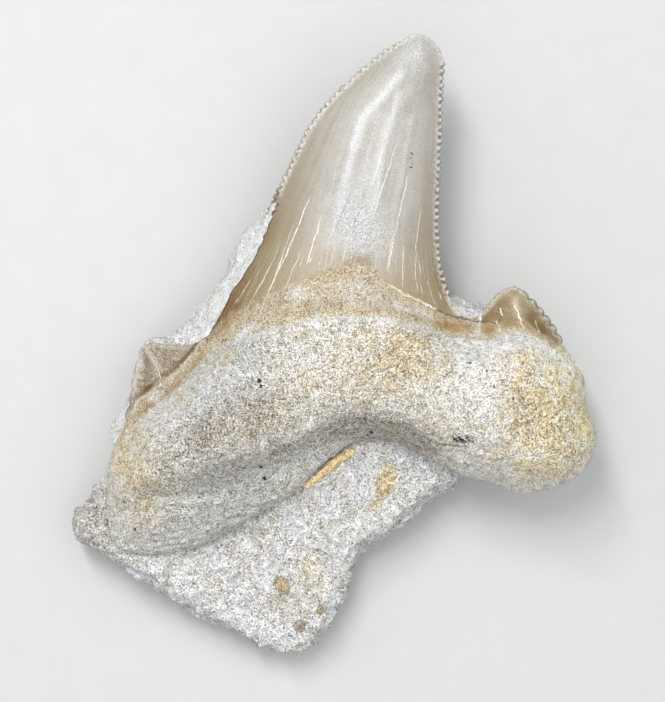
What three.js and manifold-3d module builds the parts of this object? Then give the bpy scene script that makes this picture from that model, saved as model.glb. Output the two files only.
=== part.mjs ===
// A fossil shark tooth lying on the piece of matrix rock that it was found in.
// Millimetres, +Z up. The tooth lies on its back: its crown points along +Y, its inner face looks up (+Z),
// and the rock rests on the plane z = 0. The exported group is centred over the origin.

import * as THREE from 'three';
import Module from 'manifold-3d';
import { ImprovedNoise } from 'three/addons/math/ImprovedNoise.js';
import { mergeVertices } from 'three/addons/utils/BufferGeometryUtils.js';

const { clamp, lerp, smoothstep } = THREE.MathUtils;
const wasm = await Module();
wasm.setup();

// ---- Driving dimensions -------------------------------------------------------------------------

const SERRATION_PITCH = 1.12;        // along both cutting edges of the crown
const CUSPLET_SERRATION_PITCH = 1.7; // the side cusplets are serrated more coarsely
const CUSPLET_LOBE_PITCH = 2.3;      // the mesial cusplet's edge has a few broad lobes
const SERRATION_DEPTH = 0.42;

const RIM_HEIGHT = 15.5;             // height of the tooth's widest contour above the table, at x = y = 0
const RIM_SLOPE_X = 0.045;           // the tooth lies a little higher towards its free lobe
const RIM_SLOPE_Y = 0.02;
const RIM_TIP_CURVE = 0.0006;        // the crown bends up towards its tip

const CROWN_BULGE_FOOT = 8.6;        // inner face of the crown above the rim, at its foot and at its tip
const CROWN_BULGE_TIP = 3.0;
const CROWN_BACK_BULGE = 2.4;        // the outer face is nearly flat
const CROWN_EDGE_BULGE = 0.9;        // keeps the cutting edges and the worn tip from being razor thin
const CROWN_LENS_POWER = 0.88;       // 0.5 would be an ellipse, 1 a parabola
const CROWN_FOOT_Y = 4;
const CROWN_BLUNT_Y = 42;            // the tip is blunted above this level
const CROWN_TIP_Y = 50.8;
const CUSPLET_BULGE = 3.2;
const CUSPLET_BACK_BULGE = 1.6;
const ROOT_BULGE = 12;
const BASAL_FACE_BULGE = 7.6;        // the root's lower face is a step below its dome
const ROOT_BACK_BULGE = 6;
const ROOT_EDGE_WIDTH = 12;          // how far in from the rim the root reaches its full height
const NECK_WIDTH = 8;                // width of the slope between crown and root
const LEDGE_WIDTH = 3.6;             // width of the slope between the root's dome and its lower face

const ROCK_WALL_HEIGHT = 5;          // level at which the rock is widest
const ROCK_WALL_WIDTH = 2.8;         // how far in the rock's upper edge is rounded over
const ROCK_FOOT_INSET = 3.8;         // how far in the flat underside starts
const ROCK_CORNER = [-7, -50];       // the rock's lowest corner in plan, its upper face's level there, and
const ROCK_CORNER_LEVEL = 8.5;       // how steeply that face rises to the left and towards the crown
const ROCK_RISE_LEFT = 0.064;
const ROCK_RISE_UP = 0.165;
const FIT_GAP = 0.3;                 // between the rock and every piece bedded in it

// ---- Outlines, seen from above ------------------------------------------------------------------

// Each stretch is a smooth curve through its points. Stretches meet at corners, and run anticlockwise.
const TOOTH_STRETCHES = [
  { name: 'tip', step: 1.3,
    points: [[17.6, 46.4], [17.3, 48], [16.1, 49.5], [14.7, 50.5], [13.2, 50.8], [12, 50.3],
      [10.9, 49.4]] },
  { name: 'mesial edge', serration: SERRATION_PITCH,
    points: [[10.9, 49.4], [8.5, 47.9], [4.3, 44.6], [-0.2, 40.3], [-3.4, 36.3], [-6, 31.3],
      [-7.9, 27.3], [-10, 22.8], [-11.3, 20.2]] },
  { name: 'mesial foot', step: 1.6,
    points: [[-11.3, 20.2], [-13.6, 15.6], [-16.1, 10.9], [-18.4, 7.3], [-20.3, 4.3]] },
  { name: 'left shoulder', step: 1.6,
    points: [[-20.3, 4.3], [-21.4, 2.1], [-23.2, 1.1], [-25.7, 1], [-28.3, 1.3], [-30.4, 1]] },
  { name: 'left cusplet edge', serration: CUSPLET_LOBE_PITCH,
    points: [[-30.4, 1], [-31.2, -1], [-31.8, -3.4], [-32.2, -5.8], [-32.6, -8.3], [-33.4, -11.2]] },
  { name: 'left lobe', step: 2.2,
    points: [[-33.4, -11.2], [-35.1, -14.9], [-36.3, -18.2], [-36.5, -22.6], [-36.4, -27.1], [-35.5, -31],
      [-33, -32.6], [-29, -32.9], [-24.5, -32.4], [-20, -31], [-15.3, -28.4], [-10.5, -25.5], [-6.2, -22.7],
      [-3.3, -19.9], [-0.5, -17.3], [1.8, -15.5], [3.6, -14.6]] },
  { name: 'basal notch', step: 1.6, points: [[3.6, -14.6], [5.7, -14.2], [8.3, -14.4]] },
  { name: 'right lobe', step: 2.2,
    points: [[8.3, -14.4], [10.8, -14.9], [13.7, -16.4], [17.2, -18.1], [21.1, -20.2], [24.5, -20.9],
      [28.8, -22.6], [32.5, -22.7], [36.5, -21.6], [39.7, -19.7], [41.6, -17.3], [42.4, -14], [41.8, -11.7],
      [40.6, -9.1], [40.6, -5.9], [40, -3.4], [38.4, -1], [36.8, 1.3]] },
  { name: 'right cusplet edge', serration: CUSPLET_SERRATION_PITCH,
    points: [[36.8, 1.3], [35.1, 4.2], [33.3, 6.7], [31.4, 8.5], [30.4, 9.8]] },
  { name: 'right cusplet', step: 1.3,
    points: [[30.4, 9.8], [29.3, 10.4], [27.9, 10.1], [26.5, 9.3], [25, 7.6], [23.9, 6.2],
      [22.8, 5.3]] },
  { name: 'right shoulder', step: 1.5,
    points: [[22.8, 5.3], [21.3, 5.6], [20.2, 6.5], [19.4, 7.6], [18.7, 8.9]] },
  { name: 'distal edge', serration: SERRATION_PITCH,
    points: [[18.7, 8.9], [17.7, 11.7], [17.1, 14.9], [16.8, 18.6], [16.8, 23.4], [17, 29], [17.2, 34.7],
      [17.3, 40.3], [17.6, 46.4]] },
];

const ROCK_STRETCHES = [
  { name: 'upper left edge', step: 2,
    points: [[-9.9, 23.6], [-12.6, 21.2], [-15, 18.9], [-16.8, 15.3], [-17.3, 12.8], [-19.6, 9.7],
      [-22.4, 6.9], [-24.4, 4.1], [-27.3, 2.5], [-30, 1.8]] },
  { name: 'left edge', step: 2,
    points: [[-30, 1.8], [-32.3, -1.8], [-33, -6.6], [-34.6, -9.4], [-36.4, -12.4], [-36.5, -14.4],
      [-35.6, -16.4], [-36.2, -19.5], [-38.7, -22], [-41.1, -25.3], [-42.9, -28.2]] },
  { name: 'lower left edge', step: 2,
    points: [[-42.9, -28.2], [-42.1, -30.4], [-38.2, -33], [-35, -35.4], [-32.8, -37.3],
      [-30, -38.8], [-26.8, -40.7], [-24.2, -42.6], [-20.1, -44.6], [-16, -46.4], [-12.2, -48.3],
      [-8.8, -49.9], [-5.2, -50.1]] },
  { name: 'lower right edge', step: 2,
    points: [[-5.2, -50.1], [-3.4, -48.3], [-0.6, -46], [1.1, -42.5], [2.9, -38.9], [3.9, -35.1],
      [5.3, -32.3], [8.6, -30.4], [11.9, -28.4], [16, -25], [18.8, -23.2], [20.9, -21.8], [21.8, -20.4]] },
  { name: 'edge under the right lobe', step: 2.5,
    points: [[21.8, -20.4], [25.7, -15.4], [28.3, -8], [29.5, 0.2], [27.5, 5.7], [25, 7.7]] },
  { name: 'edge behind the crown', step: 2.5,
    points: [[25, 7.7], [22.4, 8.3], [20.1, 9], [18.5, 8.6], [14.4, 11.7], [8.6, 15.8],
      [1.2, 20.7], [-5.3, 23.6], [-9.9, 23.6]] },
];

// Middle line of the band between crown and root, from the left cusplet's foot to the right one's.
const NECK_LINE = [[-34, -14], [-28.7, -9], [-23.2, -3.8], [-20, 0.5], [-15.4, 4.5], [-9, 7.5],
  [0, 9.5], [5, 9.5], [10.6, 7.5], [17, 4.5], [23, 3], [28, 3.5], [33, 2.5], [37, 0]];

// Upper edge of the root's lower face.
const LEDGE_LINE = [[-37, -24.5], [-33.8, -23], [-27.2, -20.9], [-22.1, -20.3], [-17.7, -19.4],
  [-12.7, -17.8], [-8.9, -16.5], [-3.9, -14.6], [1.2, -12.6], [5, -12], [10.6, -12.9], [14.6, -15],
  [18.5, -18], [24, -21]];

// ---- Curves and fields --------------------------------------------------------------------------

const relief = new ImprovedNoise();
const vectors = (points) => points.map(([x, y]) => new THREE.Vector2(x, y));

// Points along a stretch, without its last one. Each serration has a notch and a peak that stands out.
function pointsAlong({ points, step, serration }) {
  const curve = new THREE.SplineCurve(vectors(points));
  const spacing = serration ? serration / 2 : step;
  const count = (serration ? 2 : 1) * Math.round(curve.getLength() / spacing / (serration ? 2 : 1));
  return Array.from({ length: count }, (_, i) => {
    const point = curve.getPointAt(i / count);
    const tangent = curve.getTangentAt(i / count);
    const outward = new THREE.Vector2(tangent.y, -tangent.x);
    const stand = serration && i % 2 ? SERRATION_DEPTH : 0;
    return point.addScaledVector(outward, stand);
  });
}

// Height of a curve, given by points of rising x, at any x.
function curveThrough(points) {
  const samples = new THREE.SplineCurve(vectors(points)).getPoints(120);
  return (x) => {
    const after = samples.findIndex((p) => p.x >= x);
    if (after === 0) return samples[0].y;
    if (after < 0) return samples.at(-1).y;
    const [a, b] = [samples[after - 1], samples[after]];
    return lerp(a.y, b.y, (x - a.x) / (b.x - a.x));
  };
}

// Distance from a point to a closed outline.
function distanceTo(outline, x, y) {
  let nearest = Infinity;
  outline.forEach((a, i) => {
    const b = outline[(i + 1) % outline.length];
    const [ex, ey] = [b.x - a.x, b.y - a.y];
    const t = clamp(((x - a.x) * ex + (y - a.y) * ey) / (ex * ex + ey * ey), 0, 1);
    nearest = Math.min(nearest, Math.hypot(x - a.x - t * ex, y - a.y - t * ey));
  });
  return nearest;
}

function isInside(outline, x, y) {
  let inside = false;
  outline.forEach((a, i) => {
    const b = outline[(i + 1) % outline.length];
    if ((a.y > y) !== (b.y > y) && x < ((b.x - a.x) * (y - a.y)) / (b.y - a.y) + a.x) inside = !inside;
  });
  return inside;
}

// ---- A solid between two height fields ----------------------------------------------------------

// Delaunay triangles of a set of points, by inserting them one at a time.
function delaunay(points) {
  const far = 1e4;
  const all = [...points, ...vectors([[-far, -far], [far, -far], [0, far]])];
  const count = points.length;
  const triangle = (...corners) => {
    const [a, b, c] = corners.map((i) => all[i]);
    const [abx, aby, acx, acy] = [b.x - a.x, b.y - a.y, c.x - a.x, c.y - a.y];
    const twice = 2 * (abx * acy - aby * acx);
    const [ab2, ac2] = [abx * abx + aby * aby, acx * acx + acy * acy];
    const [ux, uy] = [(acy * ab2 - aby * ac2) / twice, (abx * ac2 - acx * ab2) / twice];
    return { corners, x: a.x + ux, y: a.y + uy, radius2: ux * ux + uy * uy };
  };
  let triangles = [triangle(count, count + 1, count + 2)];
  points.forEach((p, i) => {
    const hole = new Map();
    triangles = triangles.filter((t) => {
      if ((p.x - t.x) ** 2 + (p.y - t.y) ** 2 > t.radius2) return true;
      t.corners.forEach((a, k) => {
        const b = t.corners[(k + 1) % 3];
        if (!hole.delete(`${b},${a}`)) hole.set(`${a},${b}`, [a, b]);
      });
      return false;
    });
    for (const [a, b] of hole.values()) triangles.push(triangle(a, b, i));
  });
  return triangles.map((t) => t.corners).filter((corners) => corners.every((i) => i < count));
}

// Points inside an outline: those given, rings that follow its edge, then a hexagonal lattice, which
// jitter makes uneven.
function pointsInside(outline, rings, spacing, { jitter = 0, given = [] } = {}) {
  const found = [...given];
  let edge = 0;
  for (const { inset, every } of rings) {
    outline.forEach((p, i) => {
      if (i % every) return;
      const before = outline.at(i - 1);
      const after = outline[(i + 1) % outline.length];
      const inward = new THREE.Vector2(before.y - after.y, after.x - before.x).normalize();
      const q = p.clone().addScaledVector(inward, inset);
      const depth = isInside(outline, q.x, q.y) ? distanceTo(outline, q.x, q.y) : 0;
      const gap = 0.55 * (inset - edge);
      if (depth > 0.8 * inset && found.every((other) => other.distanceTo(q) > gap)) found.push(q);
    });
    edge = inset;
  }
  const box = new THREE.Box2().setFromPoints(outline);
  const rowHeight = (spacing * Math.sqrt(3)) / 2;
  for (let row = 0, y = box.min.y; y < box.max.y; row += 1, y += rowHeight) {
    for (let x = box.min.x + (row % 2) * 0.5 * spacing; x < box.max.x; x += spacing) {
      const q = new THREE.Vector2(
        x + jitter * relief.noise(x, y, 3.7), y + jitter * relief.noise(x, y, 8.1));
      const depth = isInside(outline, q.x, q.y) ? distanceTo(outline, q.x, q.y) : 0;
      const clear = given.every((other) => other.distanceTo(q) > 0.7 * spacing);
      if (clear && depth > edge + 0.6 * spacing) found.push(q);
    }
  }
  return found;
}

// Triangles that fill an outline. Where an edge would cross it from side to side, the middle of that
// edge joins the inner points, so that a solid's two sheets meet nowhere but along the outline.
function fill(outline, inner) {
  const size = outline.length;
  const crosses = ([a, b]) => a < b && b < size && b - a > 1 && b - a < size - 1;
  for (;;) {
    const points = [...outline, ...inner];
    const triangles = delaunay(points).filter((corners) => {
      const [a, b, c] = corners.map((i) => points[i]);
      return isInside(outline, (a.x + b.x + c.x) / 3, (a.y + b.y + c.y) / 3);
    });
    const edges = triangles.flatMap((corners) => corners.map((a, k) => [a, corners[(k + 1) % 3]]));
    const crossings = edges.filter(crosses);
    if (!crossings.length) return { points, triangles };
    crossings.forEach(([a, b]) => inner.push(points[a].clone().lerp(points[b], 0.5)));
  }
}

// A closed geometry whose upper and lower sheets meet along the outline, at the height that rim gives.
function sheetSolid(outline, inner, { rim, top, bottom }) {
  const { points, triangles } = fill(outline, inner);
  const position = [];
  points.forEach(({ x, y }, i) => position.push(x, y, i < outline.length ? rim(x, y) : top(x, y)));
  inner.forEach(({ x, y }) => position.push(x, y, bottom(x, y)));
  const lower = (i) => (i < outline.length ? i : i + inner.length);
  const index = triangles.flatMap(([a, b, c]) => [a, b, c, lower(c), lower(b), lower(a)]);
  return new THREE.BufferGeometry()
    .setAttribute('position', new THREE.Float32BufferAttribute(position, 3))
    .setIndex(index);
}

// ---- The tooth ----------------------------------------------------------------------------------

const toothOutline = TOOTH_STRETCHES.flatMap(pointsAlong);
const stretchBetween = (first, last) => {
  const [start, end] = [first, last].map((name) => TOOTH_STRETCHES.findIndex((s) => s.name === name));
  return TOOTH_STRETCHES.slice(start, end + 1).flatMap(({ points }) => points);
};
const swapped = (points) => points.map(([x, y]) => [y, x]);
const tipPoints = stretchBetween('tip', 'tip');
const mesialSide = [...tipPoints.slice(4), ...stretchBetween('mesial edge', 'mesial foot')];
const distalSide = [...stretchBetween('distal edge', 'distal edge'), ...tipPoints.slice(0, 5)];
const mesialX = curveThrough(swapped(mesialSide).reverse());
const distalX = curveThrough(swapped(distalSide));
const neckY = curveThrough(NECK_LINE);
const ledgeY = curveThrough(LEDGE_LINE);

const toothRim = (x, y) =>
  RIM_HEIGHT + RIM_SLOPE_X * x + RIM_SLOPE_Y * y + RIM_TIP_CURVE * Math.max(0, y) ** 2;

// Share of a full bulge at a depth in from the rim: a rounded edge, flat beyond the given width.
function roundedEdge(depth, width, squareness) {
  const t = clamp(depth / width, 0, 1);
  return (1 - (1 - t) ** squareness) ** (1 / squareness);
}

const softEdge = (depth, width) => 1 - Math.exp(-depth / width);

// Lens section of the crown between its two cutting edges, of the given height in the middle.
function crownLens(x, y, depth, height) {
  const level = clamp(y, CROWN_FOOT_Y, CROWN_TIP_Y - 0.3);
  const [left, right] = [mesialX(level), distalX(level)];
  const across = (2 * x - left - right) / (right - left);
  const lens = Math.max(0, 1 - across * across) ** CROWN_LENS_POWER;
  const blunt = lerp(1, softEdge(depth, 1.2), smoothstep(y, CROWN_BLUNT_Y, CROWN_TIP_Y));
  return Math.max(height * blunt * lens, CROWN_EDGE_BULGE * softEdge(depth, 1));
}

const crownRise = (y) => clamp((y - CROWN_FOOT_Y) / (CROWN_TIP_Y - CROWN_FOOT_Y), 0, 1);
const rootShare = (x, y) => smoothstep(neckY(x) + 3 - y, 0, NECK_WIDTH);
const cuspletShare = (x) => Math.max(smoothstep(-x, 17, 23), smoothstep(x, 17, 22));

function toothTop(x, y) {
  const depth = distanceTo(toothOutline, x, y);
  const crown = crownLens(x, y, depth, lerp(CROWN_BULGE_FOOT, CROWN_BULGE_TIP, crownRise(y) ** 0.9));
  const cusplet = CUSPLET_BULGE * softEdge(depth, 2) * cuspletShare(x);
  const swell = 0.5 * relief.noise(x / 9, y / 9, 0.5) + 0.9 * relief.noise(x / 21, y / 21, 4.5);
  const dome = (ROOT_BULGE + swell) * roundedEdge(depth, ROOT_EDGE_WIDTH, 1.75);
  const basalFace = BASAL_FACE_BULGE * roundedEdge(depth, ROOT_EDGE_WIDTH, 1.5);
  const belowLedge = smoothstep(ledgeY(x) - y, -0.4 * LEDGE_WIDTH, 0.6 * LEDGE_WIDTH);
  const root = lerp(dome, basalFace, belowLedge);
  return toothRim(x, y) + lerp(Math.max(crown, cusplet), root, rootShare(x, y));
}

function toothBottom(x, y) {
  const depth = distanceTo(toothOutline, x, y);
  const crown = crownLens(x, y, depth, CROWN_BACK_BULGE);
  const cusplet = CUSPLET_BACK_BULGE * softEdge(depth, 2) * cuspletShare(x);
  const root = ROOT_BACK_BULGE * roundedEdge(depth, 9, 2);
  return toothRim(x, y) - lerp(Math.max(crown, cusplet), root, rootShare(x, y));
}

// Mesh points along the top and the bottom of the slope below the ledge line.
function ledgePoints() {
  const across = [-0.5, 0.1, 0.7].map((share) => share * LEDGE_WIDTH);
  const along = new THREE.SplineCurve(vectors(LEDGE_LINE)).getSpacedPoints(34);
  return across.flatMap((below) => along.map((p) => new THREE.Vector2(p.x, p.y - below)))
    .filter((p) => isInside(toothOutline, p.x, p.y) && distanceTo(toothOutline, p.x, p.y) > 2.6);
}

function toothGeometry() {
  const rings = [{ inset: 0.7, every: 1 }, { inset: 1.9, every: 2 }];
  const inner = pointsInside(toothOutline, rings, 2, { given: ledgePoints() });
  return sheetSolid(toothOutline, inner, { rim: toothRim, top: toothTop, bottom: toothBottom });
}

// The tooth grown by the fit gap, without serrations and on a coarser mesh, to cut its bed in the rock.
function toothCutter() {
  const plain = TOOTH_STRETCHES.flatMap(({ points, step = 2 }) => pointsAlong({ points, step }));
  const outline = plain.map((p, i) => {
    const [before, after] = [plain.at(i - 1), plain[(i + 1) % plain.length]];
    const outward = new THREE.Vector2(after.y - before.y, before.x - after.x).normalize();
    return p.clone().addScaledVector(outward, FIT_GAP + SERRATION_DEPTH);
  });
  const inner = pointsInside(outline, [{ inset: 1, every: 1 }, { inset: 2.6, every: 1 }], 3.4);
  return sheetSolid(outline, inner, {
    rim: toothRim,
    top: (x, y) => toothTop(x, y) + 2 * FIT_GAP,
    bottom: (x, y) => toothBottom(x, y) - 2 * FIT_GAP,
  });
}

// ---- The rock -----------------------------------------------------------------------------------

const rockOutline = ROCK_STRETCHES.flatMap(pointsAlong).map((p) => new THREE.Vector2(
  p.x + 0.5 * relief.noise(p.x, p.y, 1.5), p.y + 0.5 * relief.noise(p.x, p.y, 6.5)));

// Broken upper face: it slopes down from the root to the lower corner. Behind the crown it reaches the
// tooth's rim, and creeps over it along the buried edge.
function rockSurface(x, y) {
  const [cornerX, cornerY] = ROCK_CORNER;
  const slope = ROCK_CORNER_LEVEL - ROCK_RISE_LEFT * (x - cornerX) + ROCK_RISE_UP * (y - cornerY);
  const behind = smoothstep(y, -8, 2) * smoothstep(6 - x, 0, 12);
  const rough = 0.7 * relief.noise(x / 7, y / 7, 2.5) + 0.45 * relief.noise(x / 2.6, y / 2.6, 9.5);
  return Math.min(slope, toothRim(x, y) + lerp(-0.2, 0.8, behind)) + rough;
}

const rockWall = (x, y) => ROCK_WALL_HEIGHT + 2 * relief.noise(x / 6, y / 6, 5.5);

function rockTop(x, y) {
  const depth = distanceTo(rockOutline, x, y);
  return lerp(rockWall(x, y), rockSurface(x, y), roundedEdge(depth, ROCK_WALL_WIDTH, 2.2));
}

function rockBottom(x, y) {
  const depth = distanceTo(rockOutline, x, y);
  return rockWall(x, y) * (1 - roundedEdge(depth, ROCK_FOOT_INSET, 1.3));
}

function rockGeometry() {
  const rings = [{ inset: 0.7, every: 1 }, { inset: 2, every: 1 }];
  const inner = pointsInside(rockOutline, rings, 3, { jitter: 1.2 });
  return sheetSolid(rockOutline, inner, { rim: rockWall, top: rockTop, bottom: rockBottom });
}

// ---- Fossil fragments bedded in the rock --------------------------------------------------------

// A rounded fragment: an uneven ellipsoid of the given half sizes, bent along its length by sag.
function fragmentGeometry({ half, sag, seed }, grow) {
  const geometry = new THREE.SphereGeometry(1, 14, 8);
  const position = geometry.getAttribute('position');
  const v = new THREE.Vector3();
  for (let i = 0; i < position.count; i += 1) {
    v.fromBufferAttribute(position, i);
    const uneven = 1 + 0.16 * relief.noise(1.7 * v.x + seed, 1.7 * v.y, 1.7 * v.z);
    const bend = sag * (v.x * v.x - 0.4);
    v.multiplyScalar(uneven).multiply(new THREE.Vector3(...half.map((size) => size + grow)));
    position.setXYZ(i, v.x, v.y + bend, v.z);
  }
  return geometry;
}

const FRAGMENTS = [
  { name: 'bone_splinter', colour: 0xd2a869, half: [5.5, 0.95, 0.9], at: [-0.6, -18.8],
    turn: 0.66, lift: 0.25, sag: -0.2, seed: 0.5 },
  { name: 'ochre_chip', colour: 0xb8a06e, half: [1.5, 1.05, 0.8], at: [-8.2, -38.2],
    turn: -1, lift: 0.1, sag: 0, seed: 3.5 },
  { name: 'red_chip', colour: 0x9d7f6c, half: [1.05, 0.85, 0.7], at: [-5.4, -45.1],
    turn: 0.9, lift: 0, sag: 0, seed: 6.5 },
  { name: 'brown_chip', colour: 0xa88a62, half: [0.85, 0.6, 0.6], at: [-2, -42.3],
    turn: 1, lift: 0, sag: 0, seed: 9.5 },
];

// Where a fragment lies: its middle at the rock's surface, lifted by its own amount.
function placed(geometry, { at: [x, y], turn, lift }) {
  return geometry.clone().rotateZ(turn).translate(x, y, rockSurface(x, y) + lift);
}

// ---- Booleans -----------------------------------------------------------------------------------

function solidOf(geometry) {
  const bare = geometry.clone().deleteAttribute('normal').deleteAttribute('uv');
  const merged = mergeVertices(bare, 1e-4);
  return new wasm.Manifold(new wasm.Mesh({
    numProp: 3,
    vertProperties: merged.getAttribute('position').array,
    triVerts: new Uint32Array(merged.index.array),
  }));
}

function geometryOf(solid) {
  const mesh = solid.getMesh();
  return new THREE.BufferGeometry()
    .setAttribute('position', new THREE.BufferAttribute(mesh.vertProperties, 3))
    .setIndex(new THREE.BufferAttribute(mesh.triVerts, 1));
}

// A geometry less its cutters. Crumbs that the cuts leave loose are dropped.
function cutBy(geometry, cutters) {
  const cut = cutters.reduce((solid, cutter) => solid.subtract(solidOf(cutter)), solidOf(geometry));
  const pieces = cut.decompose().sort((a, b) => b.volume() - a.volume());
  return geometryOf(pieces[0]);
}

// ---- Assembly -----------------------------------------------------------------------------------

function piece(name, geometry, colour, roughness) {
  const material = new THREE.MeshStandardMaterial({ color: colour, roughness, metalness: 0 });
  const mesh = new THREE.Mesh(geometry, material);
  mesh.name = name;
  return mesh;
}

const specimen = new THREE.Group();
const toothBed = toothCutter();
const fragmentBeds = FRAGMENTS.map((f) => placed(fragmentGeometry(f, FIT_GAP), f));
specimen.add(piece('tooth', toothGeometry(), 0xcfc8b6, 0.6));
specimen.add(piece('matrix', cutBy(rockGeometry(), [toothBed, ...fragmentBeds]), 0xcdcac3, 0.95));
for (const fragment of FRAGMENTS) {
  const body = cutBy(placed(fragmentGeometry(fragment, 0), fragment), [toothBed]);
  specimen.add(piece(fragment.name, body, fragment.colour, 0.7));
}

const box = new THREE.Box3().setFromObject(specimen);
const middle = box.getCenter(new THREE.Vector3());
specimen.position.set(-middle.x, -middle.y, -box.min.z);

const root = new THREE.Group();
root.add(specimen);

export default root;
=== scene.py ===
"""Looks of the fossil shark tooth: a fine tooth, its matrix rock and the fragments in it, on a pale table.

Lengths are in millimetres in the drawing frame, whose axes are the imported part's, until a mesh is made.
"""

import math
from functools import partialmethod, reduce

import bpy
import numpy as np
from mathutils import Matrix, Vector
from mathutils.bvhtree import BVHTree
from mathutils.geometry import delaunay_2d_cdt
from mathutils.kdtree import KDTree


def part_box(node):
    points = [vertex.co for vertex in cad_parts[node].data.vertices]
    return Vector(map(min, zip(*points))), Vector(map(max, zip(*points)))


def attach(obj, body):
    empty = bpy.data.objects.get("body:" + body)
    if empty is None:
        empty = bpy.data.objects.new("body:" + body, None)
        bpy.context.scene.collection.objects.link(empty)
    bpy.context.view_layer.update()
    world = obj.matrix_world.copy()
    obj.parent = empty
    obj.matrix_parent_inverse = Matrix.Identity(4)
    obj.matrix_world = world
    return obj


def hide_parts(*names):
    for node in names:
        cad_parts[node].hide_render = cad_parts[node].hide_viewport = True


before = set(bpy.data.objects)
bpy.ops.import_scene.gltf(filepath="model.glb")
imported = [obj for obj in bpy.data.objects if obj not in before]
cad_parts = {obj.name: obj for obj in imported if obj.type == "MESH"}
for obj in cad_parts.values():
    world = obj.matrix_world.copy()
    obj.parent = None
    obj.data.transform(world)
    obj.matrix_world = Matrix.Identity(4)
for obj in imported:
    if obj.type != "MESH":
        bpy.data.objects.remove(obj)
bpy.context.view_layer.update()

MM = 0.001
# The drawing frame's origin, from the corner of the tooth's box that lies at (42.32, 50.8) in that frame.
ORIGIN = np.array([*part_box("tooth")[1][:2], 0]) / MM - np.array([42.32, 50.8, 0])


def step(value, low, high):
    """Smooth step from 0 at low to 1 at high."""
    t = np.clip((value - low) / (high - low), 0, 1)
    return t * t * (3 - 2 * t)


# ---- Noise ----

# Large odd numbers that scatter the bits of a cell, of a seed and of their mixture.
CELL_SCATTER = np.array([73856093, 19349663, 83492791])
SEED_SCATTER = 2654435761
LAST_SCATTER = 1274126177
KEPT_BITS = 0xFFFFFF
# Turns the noise's grid away from the axes.
NOISE_TURN = np.array([[0.8, 0.36, -0.48], [-0.6, 0.48, -0.64], [0, 0.8, 0.6]])


def hashed(cell, seed):
    """A fixed random number from 0 to 1 for each row of three whole numbers."""
    x, y, z = (cell * CELL_SCATTER).T
    mixed = x ^ y ^ z ^ (seed * SEED_SCATTER)
    mixed = (mixed ^ (mixed >> 13)) * LAST_SCATTER
    return ((mixed ^ (mixed >> 16)) & KEPT_BITS) / KEPT_BITS


def smooth_noise(points, size, seed):
    """Smooth noise from about -1 to 1 whose waves are about twice the given size."""
    scaled = points @ NOISE_TURN / size + seed * 17.13
    cell = np.floor(scaled).astype(np.int64)
    part = scaled - cell
    part = part * part * (3 - 2 * part)
    total = np.zeros(len(points))
    for corner in np.ndindex(2, 2, 2):
        weight = np.prod(np.where(corner, part, 1 - part), axis=1)
        total += weight * hashed(cell + corner, seed)
    return 2 * total - 1


def waves(points, table):
    """Sum of smooth noises, each (height, size, seed)."""
    return sum(height * smooth_noise(points, size, seed) for height, size, seed in table)


def pits(points, size, seed, radius, share):
    """Round pits, 1 at their bottom, round a share of the points that are scattered at the given spacing."""
    scaled = points / size + seed * 7.7
    cell = np.floor(scaled).astype(np.int64)
    nearest, label = np.full(len(points), 9.0), np.zeros(len(points))
    for offset in np.ndindex(3, 3, 3):
        other = cell + np.array(offset) - 1
        centre = other + np.stack([hashed(other, seed + k) for k in (1, 2, 3)], axis=1)
        distance = np.linalg.norm(scaled - centre, axis=1)
        label = np.where(distance < nearest, hashed(other, seed + 4), label)
        nearest = np.minimum(distance, nearest)
    return (1 - step(nearest, 0.12, radius)) * (label > 1 - share)


# ---- Mesh helpers ----

def mesh_arrays(mesh):
    """Vertices and triangles of a mesh, as arrays."""
    co = np.empty(len(mesh.vertices) * 3)
    mesh.vertices.foreach_get("co", co)
    mesh.calc_loop_triangles()
    triangles = np.empty(len(mesh.loop_triangles) * 3, np.int32)
    mesh.loop_triangles.foreach_get("vertices", triangles)
    return co.reshape(-1, 3), triangles.reshape(-1, 3)


def welded(node):
    """Vertices and triangles of a CAD node in the drawing frame, with shared corners merged."""
    co, triangles = mesh_arrays(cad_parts[node].data)
    merged, index = np.unique(np.round(co / MM, 3), axis=0, return_inverse=True)
    triangles = index.reshape(-1)[triangles]
    whole = (triangles != np.roll(triangles, 1, 1)).all(1)
    return merged - ORIGIN, triangles[whole]


def new_object(name, co, faces):
    """A smooth-shaded object from vertices in the drawing frame."""
    mesh = bpy.data.meshes.new(name)
    mesh.from_pydata(((co + ORIGIN) * MM).tolist(), [], faces.tolist())
    mesh.polygons.foreach_set("use_smooth", np.ones(len(mesh.polygons), bool))
    obj = bpy.data.objects.new(name, mesh)
    bpy.context.scene.collection.objects.link(obj)
    return obj


def applied(obj):
    """Vertices and triangles of an object after its modifiers. The object is removed."""
    evaluated = obj.evaluated_get(bpy.context.evaluated_depsgraph_get())
    co, triangles = mesh_arrays(evaluated.to_mesh())
    evaluated.to_mesh_clear()
    bpy.data.objects.remove(obj)
    return co / MM - ORIGIN, triangles


def subdivided(obj, levels):
    """Vertices and triangles of an object smoothed by subdivision. The object is removed."""
    modifier = obj.modifiers.new("smooth", "SUBSURF")
    modifier.levels = modifier.render_levels = levels
    return applied(obj)


def normals_of(co, triangles):
    """Unit normal of each vertex."""
    a, b, c = co[triangles].transpose(1, 0, 2)
    face = np.cross(b - a, c - a)
    total = np.zeros_like(co)
    for k in range(3):
        np.add.at(total, triangles[:, k], face)
    return total / np.maximum(np.linalg.norm(total, axis=1, keepdims=True), 1e-12)


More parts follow.
